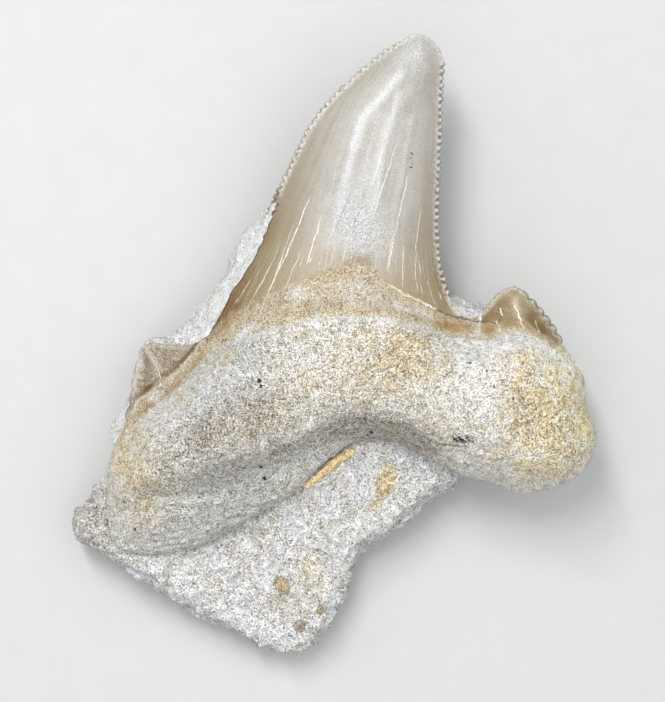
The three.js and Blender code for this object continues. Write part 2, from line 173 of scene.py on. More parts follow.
def neighbour_mean(values, triangles):
    """Mean of each vertex's neighbours."""
    total = np.zeros_like(values)
    count = np.zeros(len(values))
    for k in range(3):
        for other in ((k + 1) % 3, (k + 2) % 3):
            np.add.at(total, triangles[:, k], values[triangles[:, other]])
            np.add.at(count, triangles[:, k], 1)
    count = np.maximum(count, 1)
    return total / (count[:, None] if values.ndim == 2 else count)


def set_attributes(obj, **attributes):
    """Store numbers for each vertex, for the materials to read."""
    for name, values in attributes.items():
        layer = obj.data.attributes.new(name, "FLOAT", "POINT")
        layer.data.foreach_set("value", values.astype(np.float32))


def plan_tree(points):
    """Search tree of points in plan."""
    tree = KDTree(len(points))
    for i, (x, y) in enumerate(points.tolist()):
        tree.insert((x, y, 0), i)
    tree.balance()
    return tree


def surface_tree(*parts):
    """One surface tree of several pairs of vertices and triangles."""
    start = np.cumsum([0] + [len(co) for co, _ in parts])
    co = np.concatenate([co for co, _ in parts])
    triangles = np.concatenate([triangles + first for (_, triangles), first in zip(parts, start)])
    return BVHTree.FromPolygons(co.tolist(), triangles.tolist())


def drop(tree, x, y, side=1):
    """Height at which a ray from above (side 1) or from below (side -1) meets a surface, or None."""
    hit = tree.ray_cast((x, y, 100 * side), (0, 0, -side))[0]
    return None if hit is None else hit.z


def gaussians(x, y, patches):
    """Sum of soft patches, each (x, y, half width, half height, turn in degrees, strength)."""
    total = np.zeros_like(x)
    for cx, cy, rx, ry, turn, strength in patches:
        c, s = math.cos(math.radians(turn)), math.sin(math.radians(turn))
        u, v = ((x - cx) * c + (y - cy) * s) / rx, ((y - cy) * c - (x - cx) * s) / ry
        total += strength * np.exp(-(u * u + v * v))
    return total


def strokes(x, y, lines):
    """Sum of soft strokes, each (half width, strength, points)."""
    total = np.zeros_like(x)
    for width, strength, points in lines:
        nearest = np.full(len(x), np.inf)
        for (x0, y0), (x1, y1) in zip(points, points[1:]):
            dx, dy = x1 - x0, y1 - y0
            t = np.clip(((x - x0) * dx + (y - y0) * dy) / (dx * dx + dy * dy), 0, 1)
            nearest = np.minimum(nearest, np.hypot(x - x0 - t * dx, y - y0 - t * dy))
        total += strength * np.exp(-(nearest / width) ** 2)
    return total


# ---- The tooth's outline ----

RIM_STEP = 0.3
SCALLOP_POINTS = 8       # points along one serration
PEAK_STAND = 0.25        # a serration's tip stands out further than this from its neighbours
FOOT_STAND = 0.02        # and the points at its feet less than this
SCALLOP_HEIGHTS = (0.7, 1.12)
SCALLOP_LEAN = 0.12
SCALLOP_POWERS = (2.3, 0.62)
CROWN_LEVELS = np.arange(5.7, 50.6, 0.1)


def rim_loop(co, triangles):
    """The closed loop, anticlockwise, where the upper and the lower side of the tooth meet."""
    a, b, c = co[triangles].transpose(1, 0, 2)
    up = np.cross(b - a, c - a)[:, 2] > 0
    edges = {True: set(), False: set()}
    for corners, is_up in zip(triangles.tolist(), up.tolist()):
        edges[is_up].update(zip(corners, corners[1:] + corners[:1]))
    after = {i: j for i, j in edges[True] if (j, i) in edges[False]}
    first = min(after)
    loop = [first]
    while after[loop[-1]] != first:
        loop.append(after[loop[-1]])
    return np.array(loop)


def stand_out(rim):
    """How far each point of a closed loop stands out between its neighbours in plan, and which way is out."""
    before, after = np.roll(rim, 1, 0), np.roll(rim, -1, 0)
    chord = (after - before)[:, :2]
    outward = np.stack([chord[:, 1], -chord[:, 0]], 1) / np.linalg.norm(chord, axis=1, keepdims=True)
    return ((rim - (before + after) / 2)[:, :2] * outward).sum(1), outward


def scallop(start, end, tip, lean):
    """Points of one round serration, from its first foot to just before its second."""
    power, root = SCALLOP_POWERS
    for t in np.arange(SCALLOP_POINTS) / SCALLOP_POINTS:
        along = 2 * t - 1
        point = start + (end - start) * t
        point[:2] += tip * max(0, 1 - abs(along + lean * (1 - along ** 2)) ** power) ** root
        yield point


def smooth_stretch(p0, p1, p2, p3):
    """Points of a smooth curve from p1 to just before p2."""
    steps = max(1, round(np.linalg.norm(p2 - p1) / RIM_STEP))
    for t in np.arange(steps) / steps:
        yield 0.5 * (2 * p1 + (p2 - p0) * t + (2 * p0 - 5 * p1 + 4 * p2 - p3) * t ** 2
                     + (3 * p1 - p0 - 3 * p2 + p3) * t ** 3)


def fine_rim(rim, rng):
    """The outline with round serrations and smooth stretches, and which of its points are on serrations."""
    count = len(rim)
    stand, outward = stand_out(rim)
    peak = (stand > PEAK_STAND) & (np.roll(stand, 1) < FOOT_STAND) & (np.roll(stand, -1) < FOOT_STAND)
    points, serrated = [], []
    for i in range(count):
        j, k = (i + 1) % count, (i + 2) % count
        if peak[i]:
            continue
        if peak[j]:
            height = stand[j] * rng.uniform(*SCALLOP_HEIGHTS)
            lean = rng.uniform(-SCALLOP_LEAN, SCALLOP_LEAN)
            points += scallop(rim[i], rim[k], outward[j] * height, lean)
        else:
            run = rim[j] - rim[i]
            before = rim[i] - run if peak[i - 1] else rim[i - 1]
            after = rim[j] + run if peak[k] else rim[k]
            points += smooth_stretch(before, rim[i], rim[j], after)
        serrated += [peak[j]] * (len(points) - len(serrated))
    return np.array(points), np.array(serrated)


def crossings(outline, y):
    """Sorted x where the line at height y crosses the outline."""
    a, b = outline, np.roll(outline, -1, 0)
    hit = (a[:, 1] > y) != (b[:, 1] > y)
    a, b = a[hit], b[hit]
    return np.sort(a[:, 0] + (y - a[:, 1]) * (b[:, 0] - a[:, 0]) / (b[:, 1] - a[:, 1]))


def crown_sides(outline):
    """Smoothed x of the crown's mesial and its distal edge at each level."""
    found = [crossings(outline, level) for level in CROWN_LEVELS]
    kernel = np.hanning(63)[1:-1]
    kernel /= kernel.sum()
    sides = (np.pad([xs[k] for xs in found], len(kernel) // 2, mode="edge") for k in (0, 1))
    return [np.convolve(side, kernel, "valid") for side in sides]


def across_crown(sides, x, y):
    """Across the crown from -1 at its mesial edge to 1 at its distal edge, and half its width there."""
    low, high = (np.interp(y, CROWN_LEVELS, side) for side in sides)
    return (2 * x - low - high) / (high - low), (high - low) / 2


# ---- The tooth's two sides ----

EDGE_ZONE = 1.2          # within this distance of the rim the height follows a rounded edge
EDGE_POWER = 0.55        # how roundly it does
SERRATED_POWER = 0.8     # and how sharply on the serrations
CREASE_FROM = 8          # the CAD rim stays a crease from this level up
# Each side: 1 for up or -1 for down, its points' spacing, its rings' distances from the rim, its smoothing.
SIDES = [(1, 0.25, (0.03, 0.1, 0.22, 0.4), 10), (-1, 0.55, (0.06, 0.2, 0.45), 3)]


def lattice(outline, spacing):
    """Hexagonal lattice points inside an outline."""
    low, high = outline.min(0), outline.max(0)
    found = []
    for row, y in enumerate(np.arange(low[1] + 0.01, high[1], spacing * math.sqrt(0.75))):
        shift = (row % 2) / 2
        xs = crossings(outline, y)
        for left, right in zip(xs[::2], xs[1::2]):
            start = math.ceil((left - low[0]) / spacing - shift)
            x = low[0] + spacing * (np.arange(start, start + int((right - left) / spacing) + 2) + shift)
            x = x[(x > left) & (x < right)]
            found.append(np.stack([x, np.full(len(x), y)], 1))
    return np.concatenate(found)


def quartered(values):
    """Values round a closed loop, with three more between each two."""
    return np.concatenate([values + (np.roll(values, -1, 0) - values) * t for t in (0, 0.25, 0.5, 0.75)])


def smooth_shape(co, triangles, rim, sharp):
    """Smooth surface through the CAD tooth, to take heights from. Its rim is a crease where it is sharp."""
    obj = new_object("shape", co, triangles)
    pairs = {tuple(sorted((int(a), int(b)))) for a, b, keep in zip(rim, np.roll(rim, -1), sharp) if keep}
    crease = obj.data.attributes.new("crease_edge", "FLOAT", "EDGE")
    crease.data.foreach_set("value", [float(tuple(sorted(e.vertices)) in pairs) for e in obj.data.edges])
    return surface_tree(subdivided(obj, 2))


def sheet(outline, serrated, spacing, rings):
    """Points inside the outline and triangles on them: a lattice, and rings that close up towards the rim."""
    tree = plan_tree(quartered(outline))
    tangent = np.roll(outline, -2, 0) - np.roll(outline, 2, 0)
    inward = np.stack([-tangent[:, 1], tangent[:, 0]], 1) / np.linalg.norm(tangent, axis=1, keepdims=True)
    inner = []
    for inset in rings:
        use = ~serrated | (inset == rings[-1])
        use &= np.arange(len(outline)) % (1 if inset < 0.5 * spacing else 2) == 0
        inner += [q for q in outline[use] + inset * inward[use] if tree.find((*q, 0))[2] > 0.9 * inset]
    inner += [q for q in lattice(outline, spacing) if tree.find((*q, 0))[2] > rings[-1] + 0.6 * spacing]
    points = np.concatenate([outline, np.array(inner)])
    edges = [(i, (i + 1) % len(outline)) for i in range(len(outline))]
    faces, original = delaunay_2d_cdt([Vector(p) for p in points], edges, [], 1, 1e-7)[2:4]
    source = np.array([o[0] if o else -1 for o in original])
    triangles = source[np.array(faces)]
    return points, triangles[(triangles >= 0).all(1)]


def heights(points, outline, rim_z, serrated, shape, side):
    """Height of one side over points in plan, and their depth in from the rim."""
    dense, dense_z, dense_serrated = quartered(outline), quartered(rim_z), np.tile(serrated, 4)
    tree = plan_tree(dense)
    z, depth = np.empty(len(points)), np.empty(len(points))
    for i, (x, y) in enumerate(points.tolist()):
        _, nearest, depth[i] = tree.find((x, y, 0))
        if depth[i] >= EDGE_ZONE:
            z[i] = drop(shape, x, y, side)
            continue
        z[i] = dense_z[nearest]
        if depth[i] < 1e-4:
            continue
        (rim_x, rim_y), reach = dense[nearest], EDGE_ZONE / depth[i]
        inside = drop(shape, rim_x + (x - rim_x) * reach, rim_y + (y - rim_y) * reach, side)
        rise = 0.5 * side if inside is None else inside - z[i]
        z[i] += rise / reach ** (SERRATED_POWER if dense_serrated[nearest] else EDGE_POWER)
    return z, depth


def tooth_mesh():
    """The tooth's vertices, triangles, depths in from its rim, and outline with its serrated points."""
    cad, cad_triangles = welded("tooth")
    loop = rim_loop(cad, cad_triangles)
    rim, serrated = fine_rim(cad[loop], np.random.default_rng(7))
    outline, rim_z = rim[:, :2], rim[:, 2]
    sharp = (np.abs(stand_out(cad[loop])[0]) > PEAK_STAND) | (cad[loop][:, 1] > CREASE_FROM)
    shape = smooth_shape(cad, cad_triangles, loop, sharp)
    sheets = []
    for side, spacing, rings, rounds in SIDES:
        points, triangles = sheet(outline, serrated, spacing, rings)
        z, depth = heights(points, outline, rim_z, serrated, shape, side)
        z[:len(outline)], depth[:len(outline)] = rim_z, 0
        for _ in range(rounds):
            z += (neighbour_mean(z, triangles) - z) * step(depth, 0.4, 1.6)
        sheets.append((np.column_stack([points, z]), triangles[:, ::side], depth))
    (top, top_triangles, top_depth), (bottom, bottom_triangles, bottom_depth) = sheets
    rims = len(outline)
    # The lower sheet shares the upper one's rim.
    shifted = np.where(bottom_triangles < rims, bottom_triangles, bottom_triangles + len(top) - rims)
    used, index = np.unique(np.concatenate([top_triangles, shifted]), return_inverse=True)
    co = np.concatenate([top, bottom[rims:]])[used]
    depth = np.concatenate([top_depth, bottom_depth[rims:]])[used]
    return co, index.reshape(-1, 3), depth, outline, serrated


# ---- The tooth's relief ----

# The lower end of the enamel, the lower end of the band under it, and the root's ledge, in plan.
ENAMEL_LINE = [(-34, -12), (-31.7, -9), (-29.4, -7), (-26, -4.6), (-22.6, -1.2), (-20.8, 1.4), (-19.4, 3),
    (-16.8, 5.2), (-13.6, 7), (-10.6, 8.6), (-6.7, 10.1), (-2.3, 12), (1.2, 13.2), (4.3, 13.9), (6.5, 12.8),
    (8.7, 10.4), (11.3, 8.7), (15, 7.2), (17.6, 6.3), (20.1, 5.2), (22.9, 4.7), (26.4, 4.6), (29, 5),
    (31.5, 4.2), (34, 2.6), (36.6, 0.6)]
BAND_LINE = [(-34, -14), (-31, -10.9), (-28.7, -9), (-26.2, -7), (-23.2, -4), (-20.1, -0.4), (-15.4, 2.2),
    (-11.1, 3.6), (-5.1, 4.7), (2.8, 5.2), (10.6, 4.7), (15.4, 3.5), (19.3, 2.5), (23.2, 2), (25.9, 2.2),
    (28.3, 3.3), (30.8, 3.1), (33.5, 1.7), (36.6, 0)]
LEDGE_LINE = [(-37, -24.5), (-33.8, -23), (-27.2, -20.9), (-22.1, -20.3), (-17.7, -19.4), (-12.7, -17.8),
    (-8.9, -16.5), (-3.9, -14.6), (1.2, -12.6), (5, -12), (10.6, -12.9), (14.6, -15), (18.5, -18)]
# Ridges and hollows along the crown and the cusplets: (half width, height, points).
RIDGES = [
    (1.15, 0.24, [(11.4, 43.4), (8.9, 41), (6.3, 38.4), (4.1, 34.6), (2.8, 30.6), (1.9, 25.8),
     (0.9, 19.7), (0.2, 15)]),
    (0.9, 0.17, [(12.4, 41), (10.3, 37.8), (8.9, 34.4), (8, 30.6), (7, 25), (5.4, 19.7)]),
    (0.6, 0.09, [(13, 37), (11.9, 32.2), (10.8, 25.8), (9.6, 18.6)]),
    (0.9, -0.12, [(7, 35.6), (5.6, 31), (4.6, 25)]), (1.2, 0.08, [(4, 37), (-0.6, 28), (-3.6, 20)]),
    (0.8, 0.55, [(-29.2, 0.2), (-28.2, -2.6), (-27.3, -5.6)]), (1.1, -0.35, [(-30.4, -2.6), (-29.6, -6)]),
    (1.4, -0.35, [(-26, -1.6), (-24.4, -3)]), (0.8, 0.35, [(29.6, 8.2), (29.9, 5.6), (30.2, 4)]),
    (1.2, -0.3, [(32.6, 5.2), (33.6, 3.2)]), (1.2, -0.25, [(27, 6), (27.8, 4.8)]),
    (0.5, 0.3, [(-32.4, -9.4), (-29.4, -6.7), (-26, -4.3), (-22.9, -1.2), (-20.8, 1.8)])]
# The narrow gap under the enamel's distal edge.
GAP = [(16.9, 6.5), (18.4, 5.9), (20.8, 5.2), (23.8, 4.7), (26, 4.4)]
# Pale lobes on the edge of the mesial cusplet, and painted highlights along the ridges of both cusplets: (x,
# y, half width, half height, turn in degrees, strength).
LOBES = [(-31.2, -1.6, 0.65, 0.9, 0, 1), (-31.8, -3.9, 0.7, 0.9, 0, 1), (-32.4, -6, 0.6, 0.9, 0, 0.9),
    (-29, -1.2, 2.2, 0.35, -55, 0.5), (29.8, 7.4, 1.1, 1.7, -20, 0.1)]
# Noises: (height, size, seed).
ROOT_WAVES = [(0.2, 2.4, 11), (0.11, 1.1, 12), (0.09, 0.52, 13), (0.07, 0.27, 14)]
FIBRE_WAVES = [(0.15, 0.42, 15), (0.09, 0.9, 16)]
BAND_WAVES = [(0.09, 0.8, 21), (0.08, 0.35, 22)]
# Fine lines up the crown: (noise cells per half width, and per mm of height, seed).
CROWN_LINES = [(22, 0.12, 41), (55, 0.16, 42)]
CROWN_LINE_HEIGHT = 0.0175

# Stains and pale crusts on the tooth: (x, y, half width, half height, turn in degrees, strength).
OCHRE = [(34, -9, 8, 9, 0, 0.65), (34, -12.5, 5, 4, 0, 0.45), (13, -1.6, 5, 4.4, -10, 0.5),
    (30.3, -1.5, 1.1, 1.7, 20, 1.2), (29.4, -5.4, 2.1, 3.6, 0, 0.8), (-31, -27, 4, 2.5, 0, 0.4),
    (-30, -21.5, 5, 4, 0, 0.3), (40.6, -10, 2.4, 3.4, 0, 0.5), (37.4, -6.4, 2, 2, 0, 0.4),
    (36.6, -12.6, 3, 2, 0, 0.45), (30.2, -11, 2.4, 2.4, 0, 0.5), (27, -15, 5, 2.6, 0, 0.4),
    (33, -19, 6, 2.6, 10, 0.4), (22.9, -11.9, 1.6, 0.5, 0, 1), (10.6, -1.2, 5.6, 4.4, -10, 0.75),
    (10.6, 0.8, 2.6, 1.2, -10, 0.7), (4.3, 2.6, 3.4, 1.2, 0, 0.5), (17.5, -2, 2.6, 1, -40, 0.5),
    (8, -7, 5, 2.6, 0, 0.35), (-2, 11.8, 2, 0.8, 20, 1.1), (1.8, 12.4, 1.7, 1.2, 10, 0.9),
    (5, 10.6, 3, 1.6, -20, 0.35), (-6, 2.6, 5, 1.4, 10, 0.45), (-1, -3, 8, 5, 10, 0.3),
    (-33.5, -13, 4, 7, 20, 0.75), (-29.4, -22.6, 2, 3, 30, 0.75), (-33, -19, 4, 5, 0, 0.35),
    (-17.5, -1.4, 3, 1.4, 40, 0.6), (-24, -7.6, 3, 1.3, 40, 0.5), (-9, -9, 8, 3, 20, 0.25),
    (-16, -13.6, 6, 1.6, 20, 0.3), (15.5, -12, 4, 1.6, -25, 0.35)]
# The pale patch at (30, 1.2), under the distal cusplet, is partly painted light where a dip in the band is
# shaded.
PALE = [(-5.2, 9.2, 2.2, 1.4, 15, 0.6), (-28.4, -7.4, 1.1, 0.9, 0, 1.4), (3.9, 9.4, 3.6, 2, 0, 0.6),
    (10.8, 7.2, 1.6, 0.7, -20, 0.9), (14.4, 6, 1.8, 0.5, -25, 0.9), (30, 1.2, 4, 1.7, -15, 1.2),
    (23.3, 3.6, 0.6, 1.4, 0, 0.9), (-13, -3.6, 7, 3, 40, 0.3), (-19.4, -7, 5, 2.6, 35, 0.9),
    (20, -2.4, 5, 2.4, 0, 0.8), (-3, -1, 4, 1.6, 10, 0.3), (25.5, 0.4, 3, 0.9, 10, 0.9),
    (-14.4, 2.4, 3, 0.8, 50, 0.8), (22.5, -7, 4, 3, 0, 0.35), (28, -13.8, 2.4, 0.8, -30, 0.7),
    (-22.4, -8, 3.4, 2.6, 35, 0.6), (33, -4.4, 3, 2, 0, 0.4), (-27, -11, 3, 2.6, 35, 0.8),
    (-31.4, -15.4, 2.6, 3, 20, 0.6)]
AMBER = [(18.7, 4.2, 3, 0.9, -8, 1), (24.6, 3.6, 1.4, 1, 0, 1), (27.6, 4.3, 1.6, 0.8, 10, 0.9),
    (30.6, 4.1, 2, 0.7, -20, 0.8), (34, 2.2, 2.4, 0.6, -35, 0.8), (-17.4, 3.8, 2.2, 0.7, 40, 0.8),
    (-21.6, -1.8, 2.4, 0.5, 48, 0.8), (-25.4, -5.8, 2.6, 0.5, 42, 0.8), (-29.8, -9.2, 2.6, 0.6, 38, 0.8)]
# Whitened enamel and painted light: a worn, frosted patch low on the crown that also glitters as a painted
# highlight, and one at its tip, painted lighter where its slope is shaded.
FROST = [(3.9, 21, 3, 5.6, 10, 0.8), (3.7, 19, 2.9, 2.6, 0, 1), (8, 17, 3, 4, 0, 0.3),
    (14.4, 47.8, 2.8, 3, 0, 0.55)]
# Pale crust along the band: (half width, strength, points).
CRUST = [(0.7, 0.9, [(-5.2, 4.2), (1.2, 5), (8.4, 4.8), (15.6, 3.5)]), (0.5, 0.3, [(-16, 1), (-11.6, 5)])]
# Painted highlight: pale glittering streaks along the crown's ridges.
POLISH = [
    (0.6, 0.5, [(10.8, 44.2), (7.6, 40.2), (4.7, 37.3), (3.1, 32.2), (2, 26.6), (0.9, 21.8), (-0.4, 17)]),
    (1, 0.35, [(9.6, 43), (7.6, 40), (4.9, 37), (3.7, 32.6)]), (1.2, 0.08, [(7, 38), (5.8, 31), (4.6, 24)]),
    (0.5, 0.6, [(10.5, 41), (8.9, 35.4), (7.6, 29.8), (7.1, 25), (6, 21)]),
    (0.4, 0.25, [(12.4, 37), (11.4, 31), (10.8, 26)])]
# Brown soil, and painted shade: in the notch and the creases under the root, along its ledge and over its
# mesial side.
DIRT = [(3.4, 0.3, [(-26, -17), (-12, -13.4), (-3, -10.4), (5, -9.4), (12, -11), (18, -14)]),
    (1.4, 0.55, [(-31, -22.4), (-22, -20.2), (-15, -18.6)]),
    (1.6, 0.85, [(-8.4, -16.3), (-3.9, -14.4), (1.2, -12.4), (5, -12), (10.6, -12.9), (16, -16)]),
    (4.6, 0.55, [(-20, -12), (-10, -9)]), (3, 0.3, [(-28, -17), (-20, -13)]),
    (3, 0.3, [(-34, -26), (-25, -28)]), (4, 0.75, [(31, -10), (36, -13)]),
    (4, 0.4, [(14, 0.5), (8, 0), (12.5, -4)]), (5, 0.2, [(-4, -2), (4, -3)]),
    (2.2, 0.9, [(2, -11.4), (8, -12), (14, -14.6)]),
    (0.9, 1, [(5.4, -13.6), (9, -14.4), (14, -17.2), (19, -20)])]
# Brown translucent stretches of enamel.
BROWN = [(1.2, 0.3, [(-9, 21.4), (-11, 17.4)]), (1.9, 0.85, [(-14.2, 12), (-17, 7)]),
    (1.7, 1, [(-16.2, 7), (-18.6, 3.6)]), (1.1, 0.6, [(3.7, 14.4), (5.2, 14.2)]),
    (1, 0.75, [(-30.2, -1.6), (-30, -6)]), (1.6, 0.5, [(-26.4, -1.4), (-23.5, -1.6), (-22, 1)]),
    (0.4, 0.8, [(-31.6, -7.4), (-29.4, -5.6), (-26, -3.4), (-23.4, -0.8), (-21.4, 1.4)]),
    (1.2, 1.1, [(31.8, 5.4), (33.4, 3.4)]), (1.5, 1, [(24.4, 5.4), (26.4, 6.4), (27.2, 7.6)]),
    (0.8, 0.5, [(33.4, 4), (36, 1.4)]), (1, 0.5, [(17, 12), (18.6, 8)])]


def line_at(line, x):
    """y of a line of points at each x."""
    xs, ys = np.array(line, float).T
    return np.interp(x, xs, ys)


def serration_beads(co, outline, serrated, depth):
    """Relief of the serrations: each is a bead with a furrow on either side."""
    phase = np.zeros(len(outline))
    run = 0
    for i in range(len(outline)):
        phase[i] = run % SCALLOP_POINTS / SCALLOP_POINTS
        run = run + 1 if serrated[i] else 0
    tree = plan_tree(outline)
    relief = np.zeros(len(co))
    for i in np.nonzero(depth < 1.5)[0]:
        _, j, _ = tree.find((co[i, 0], co[i, 1], 0))
        if serrated[j]:
            relief[i] = math.sin(math.pi * phase[j]) ** 0.7 - 0.45
    return relief * np.exp(-(depth / 0.6) ** 2)


def enamel_relief(x, y, across, depth):
    """Ridges, lobes and fine lines that run up the crown."""
    lines = sum(smooth_noise(np.column_stack([across * per_half, y * per_mm, 0 * x]), 1, seed)
                for per_half, per_mm, seed in CROWN_LINES)
    lines *= CROWN_LINE_HEIGHT * step(depth, 0.5, 3) * (1 - 0.8 * step(y, 34, 46))
    return strokes(x, y, RIDGES) + 0.5 * gaussians(x, y, LOBES) + lines


def root_relief(co, lower_face):
    """Lumps and pits on the root's dome, and fibres on its lower face."""
    x, y, z = co.T
    along = np.column_stack([(x * 0.95 + y * 0.3) / 5, (y * 0.95 - x * 0.3) * 1.25, z * 1.25])
    return (waves(co, ROOT_WAVES) * (1 - 0.45 * lower_face)
            + waves(along, FIBRE_WAVES) * (0.25 + 0.75 * lower_face)
            - 0.22 * pits(co, size=1.5, seed=5, radius=0.34, share=0.45) * (1 - 0.7 * lower_face))


def build_tooth():
    """The fine tooth with its attributes, and its vertices and triangles."""
    co, triangles, depth, outline, serrated = tooth_mesh()
    x, y = co[:, 0], co[:, 1]
    across, half = across_crown(crown_sides(outline), x, y)
    enamel = y - line_at(ENAMEL_LINE, x)
    bent_x, bent_y = (value + 0.35 * smooth_noise(co, 1.1, seed) for value, seed in ((x, 31), (y, 32)))
    band = bent_y - line_at(BAND_LINE, bent_x)
    is_enamel = step(enamel + 0.25 * smooth_noise(co, 0.8, 33), -0.12, 0.12)
    is_root = 1 - step(band, -0.3, 0.3)
    lower_face = step(line_at(LEDGE_LINE, x) - y, -1, 1.5) * (1 - step(x, -2, 6))

    relief = is_enamel * enamel_relief(x, y, across, depth)
    relief += is_root * root_relief(co, lower_face)
    relief += (1 - is_enamel) * (1 - is_root) * (waves(co, BAND_WAVES) - 0.07 - 0.12 * step(x, 8, 15))
    relief += 0.05 * serration_beads(co, outline, serrated, depth)
    relief -= 0.14 * np.exp(-(band / 0.5) ** 2) * (1 - is_enamel)
    relief -= strokes(x, y, [(0.3, 0.35, GAP)])
    co = co + normals_of(co, triangles) * (relief * step(depth, -0.1, 0.25))[:, None]

    obj = new_object("tooth_fine", co, triangles)
    set_attributes(
        obj, across=across, half=half, enamel=enamel, band=band, depth=depth, lower_face=lower_face,
        ochre=gaussians(x, y, OCHRE), pale=gaussians(x, y, PALE) + strokes(x, y, CRUST),
        amber=gaussians(x, y, AMBER), frost=gaussians(x, y, FROST), lobes=gaussians(x, y, LOBES),
        polish=strokes(x, y, POLISH), dirt=strokes(x, y, DIRT), brown=strokes(x, y, BROWN))
    return obj, co, triangles


# ---- The rock ----

ROCK_VOXEL = 0.42
CONTACT = 1.0            # rock nearer than this to the tooth is drawn up against it
SINK = 0.06              # and this far into it
CHIP_CONTACT = 0.5       # the same for the fragments
CHIP_REACH = 1.6         # rock nearer than this to a fragment rises with it
CHIP_STAND = 0.6         # until a fragment stands this far out of it
OPEN_GAP = 0.6           # past this distance rock isn't taken to lie on the tooth

# Stretch of the crown's mesial edge that the rock laps over.
LIP = [(-9.8, 20.6), (-11.6, 17.2), (-14.2, 12.4), (-17, 7.8), (-19.8, 3.6)]
LIP_WIDTH = 2.4
LIP_LEAST = 0.03         # rock with a smaller share in the lip is left where it is
LIP_RISE = 2.6
LIP_REACH = 1.5
# Where the lip reaches less far in: (x, y, half width, half height, turn in degrees, share).
LIP_TRIM = [(-15.6, 9, 3.4, 4.4, 0, 0.75), (-9.4, 22, 2.6, 3, 0, 0.7)]
OVERHANG = 1.0           # the tooth's edge may jut out this far over open rock

# Noises: (height, size, seed).
ROCK_WAVES = [(0.58, 2.6, 51), (0.42, 1.2, 52), (0.26, 0.6, 53), (0.12, 0.34, 54)]
LIP_WAVES = [(0.35, 1.3, 62), (0.2, 0.5, 64)]
CRACK_WAVES = [(1, 5, 59), (0.12, 1.4, 60)]
# Stains, soil and painted shade on the rock: (x, y, half width, half height, turn in degrees, strength).
ROCK_OCHRE = [(8.6, -21.3, 1.5, 2.6, -15, 1.5), (6.7, -25, 1.2, 0.9, 20, 0.7), (10.6, -27.4, 2, 1, 30, 0.4),
    (-3, -36.2, 4, 4.4, 0, 0.45), (-8, -42, 7, 4, 0, 0.3)]
# Brown soil by the tooth, and painted shade on the rock's far mesial corner.
ROCK_SOIL = [(-17, -29.5, 6, 2.4, 15, 0.5), (2, -15.5, 4, 1.5, 30, 0.4), (-40, -27, 6, 6, 0, 1.4)]
# Pale stretches of rock, partly painted light on the lip over the crown's edge: (half width, strength,
# points).
ROCK_PALE = [(3.2, 1, LIP), (2.2, 1, [(19.6, 6.6), (23, 5.6)]), (1.6, 0.8, [(-33.6, -9), (-35.4, -14.4)]),
    (2.6, 0.6, [(2.6, -32), (1.6, -36)])]


def brought_up(co, tree):
    """Rock brought up to just below the top of the small pieces it holds."""
    raised = co.copy()
    for i, p in enumerate(co.tolist()):
        hit, normal, _, distance = tree.find_nearest(p, CHIP_REACH)
        if hit is None:
            continue
        top = drop(tree, hit.x - 0.6 * normal.x, hit.y - 0.6 * normal.y)
        if top is not None:
            share = 1 - float(step(distance, 0.5, CHIP_REACH))
            raised[i, 2] += min(max(top - CHIP_STAND - p[2], 0), 1) * share
    return raised


def contact(co, tree, reach, sink):
    """Rock against a piece: the gap, the shift that closes a small one, its share, and the piece's level."""
    gap, pull, level = np.full(len(co), 9.0), np.zeros_like(co), np.full(len(co), 99.0)
    for i, p in enumerate(co.tolist()):
        hit, normal, _, distance = tree.find_nearest(p, 9)
        if hit is None:
            continue
        level[i] = hit.z
        gap[i] = distance if (Vector(p) - hit).dot(normal) > 0 else -distance
        pull[i] = (hit - float(sink[i]) * normal) - Vector(p)
    near = 1 - step(gap, reach, reach + 0.6)
    return gap, pull * near[:, None], near, level


def lip_share(co, triangles, gap, tooth, inward):
    """Each vertex's share in the lip: none under the tooth, down the rock's wall or far from the edge."""
    near = strokes(co[:, 0], co[:, 1], [(LIP_WIDTH, 1, LIP)]) * step(co[:, 2], 7, 11)
    covered = np.zeros(len(co))
    for i in np.nonzero(near > LIP_LEAST)[0]:
        x, y, z = co[i].tolist()
        above = drop(tooth, x, y)
        deep = drop(tooth, *(co[i, :2] - OVERHANG * inward).tolist()) is not None
        covered[i] = above is not None and z < above - OPEN_GAP and (deep or gap[i] < OPEN_GAP)
    return np.where(neighbour_mean(covered, triangles) < 0.5, near, 0)


def lip(co, triangles, gap, level, tooth):
    """Rock drawn over the tooth's buried edge: raised, moved in and laid on it, thinning inwards."""
    (x0, y0), (x1, y1) = LIP[0], LIP[-1]
    inward = np.array([y0 - y1, x1 - x0]) / math.hypot(x1 - x0, y1 - y0)
    near = lip_share(co, triangles, gap, tooth, inward)
    moved = co.copy()
    moved[:, 2] += np.clip(level + 0.45 + 0.3 * smooth_noise(co, 1.2, 57) - co[:, 2], 0, LIP_RISE) * near
    reach = LIP_REACH * (1 + waves(co, LIP_WAVES)) * (1 - gaussians(co[:, 0], co[:, 1], LIP_TRIM)) * near
    moved[:, :2] += reach[:, None] * inward
    thick = 0.42 * step(gap, 0, 1.5) - 0.1 + np.where(gap > OPEN_GAP, 0.25, 0) * near
    keep = step(gap, OPEN_GAP, OPEN_GAP + 1)
    for is_last in (False, False, True):
        for i in np.nonzero(near > LIP_LEAST)[0]:
            x, y, z = moved[i].tolist()
            above = drop(tooth, x, y)
            if above is not None:
                low = above + thick[i]
                moved[i, 2] = low + max(z - low, 0) * keep[i]
        if not is_last:
            moved += (0.6 * step(near, 0.1, 0.4))[:, None] * (neighbour_mean(moved, triangles) - moved)
    moved[:, 2] += 0.12 * smooth_noise(co, 0.36, 63) * near
    return moved


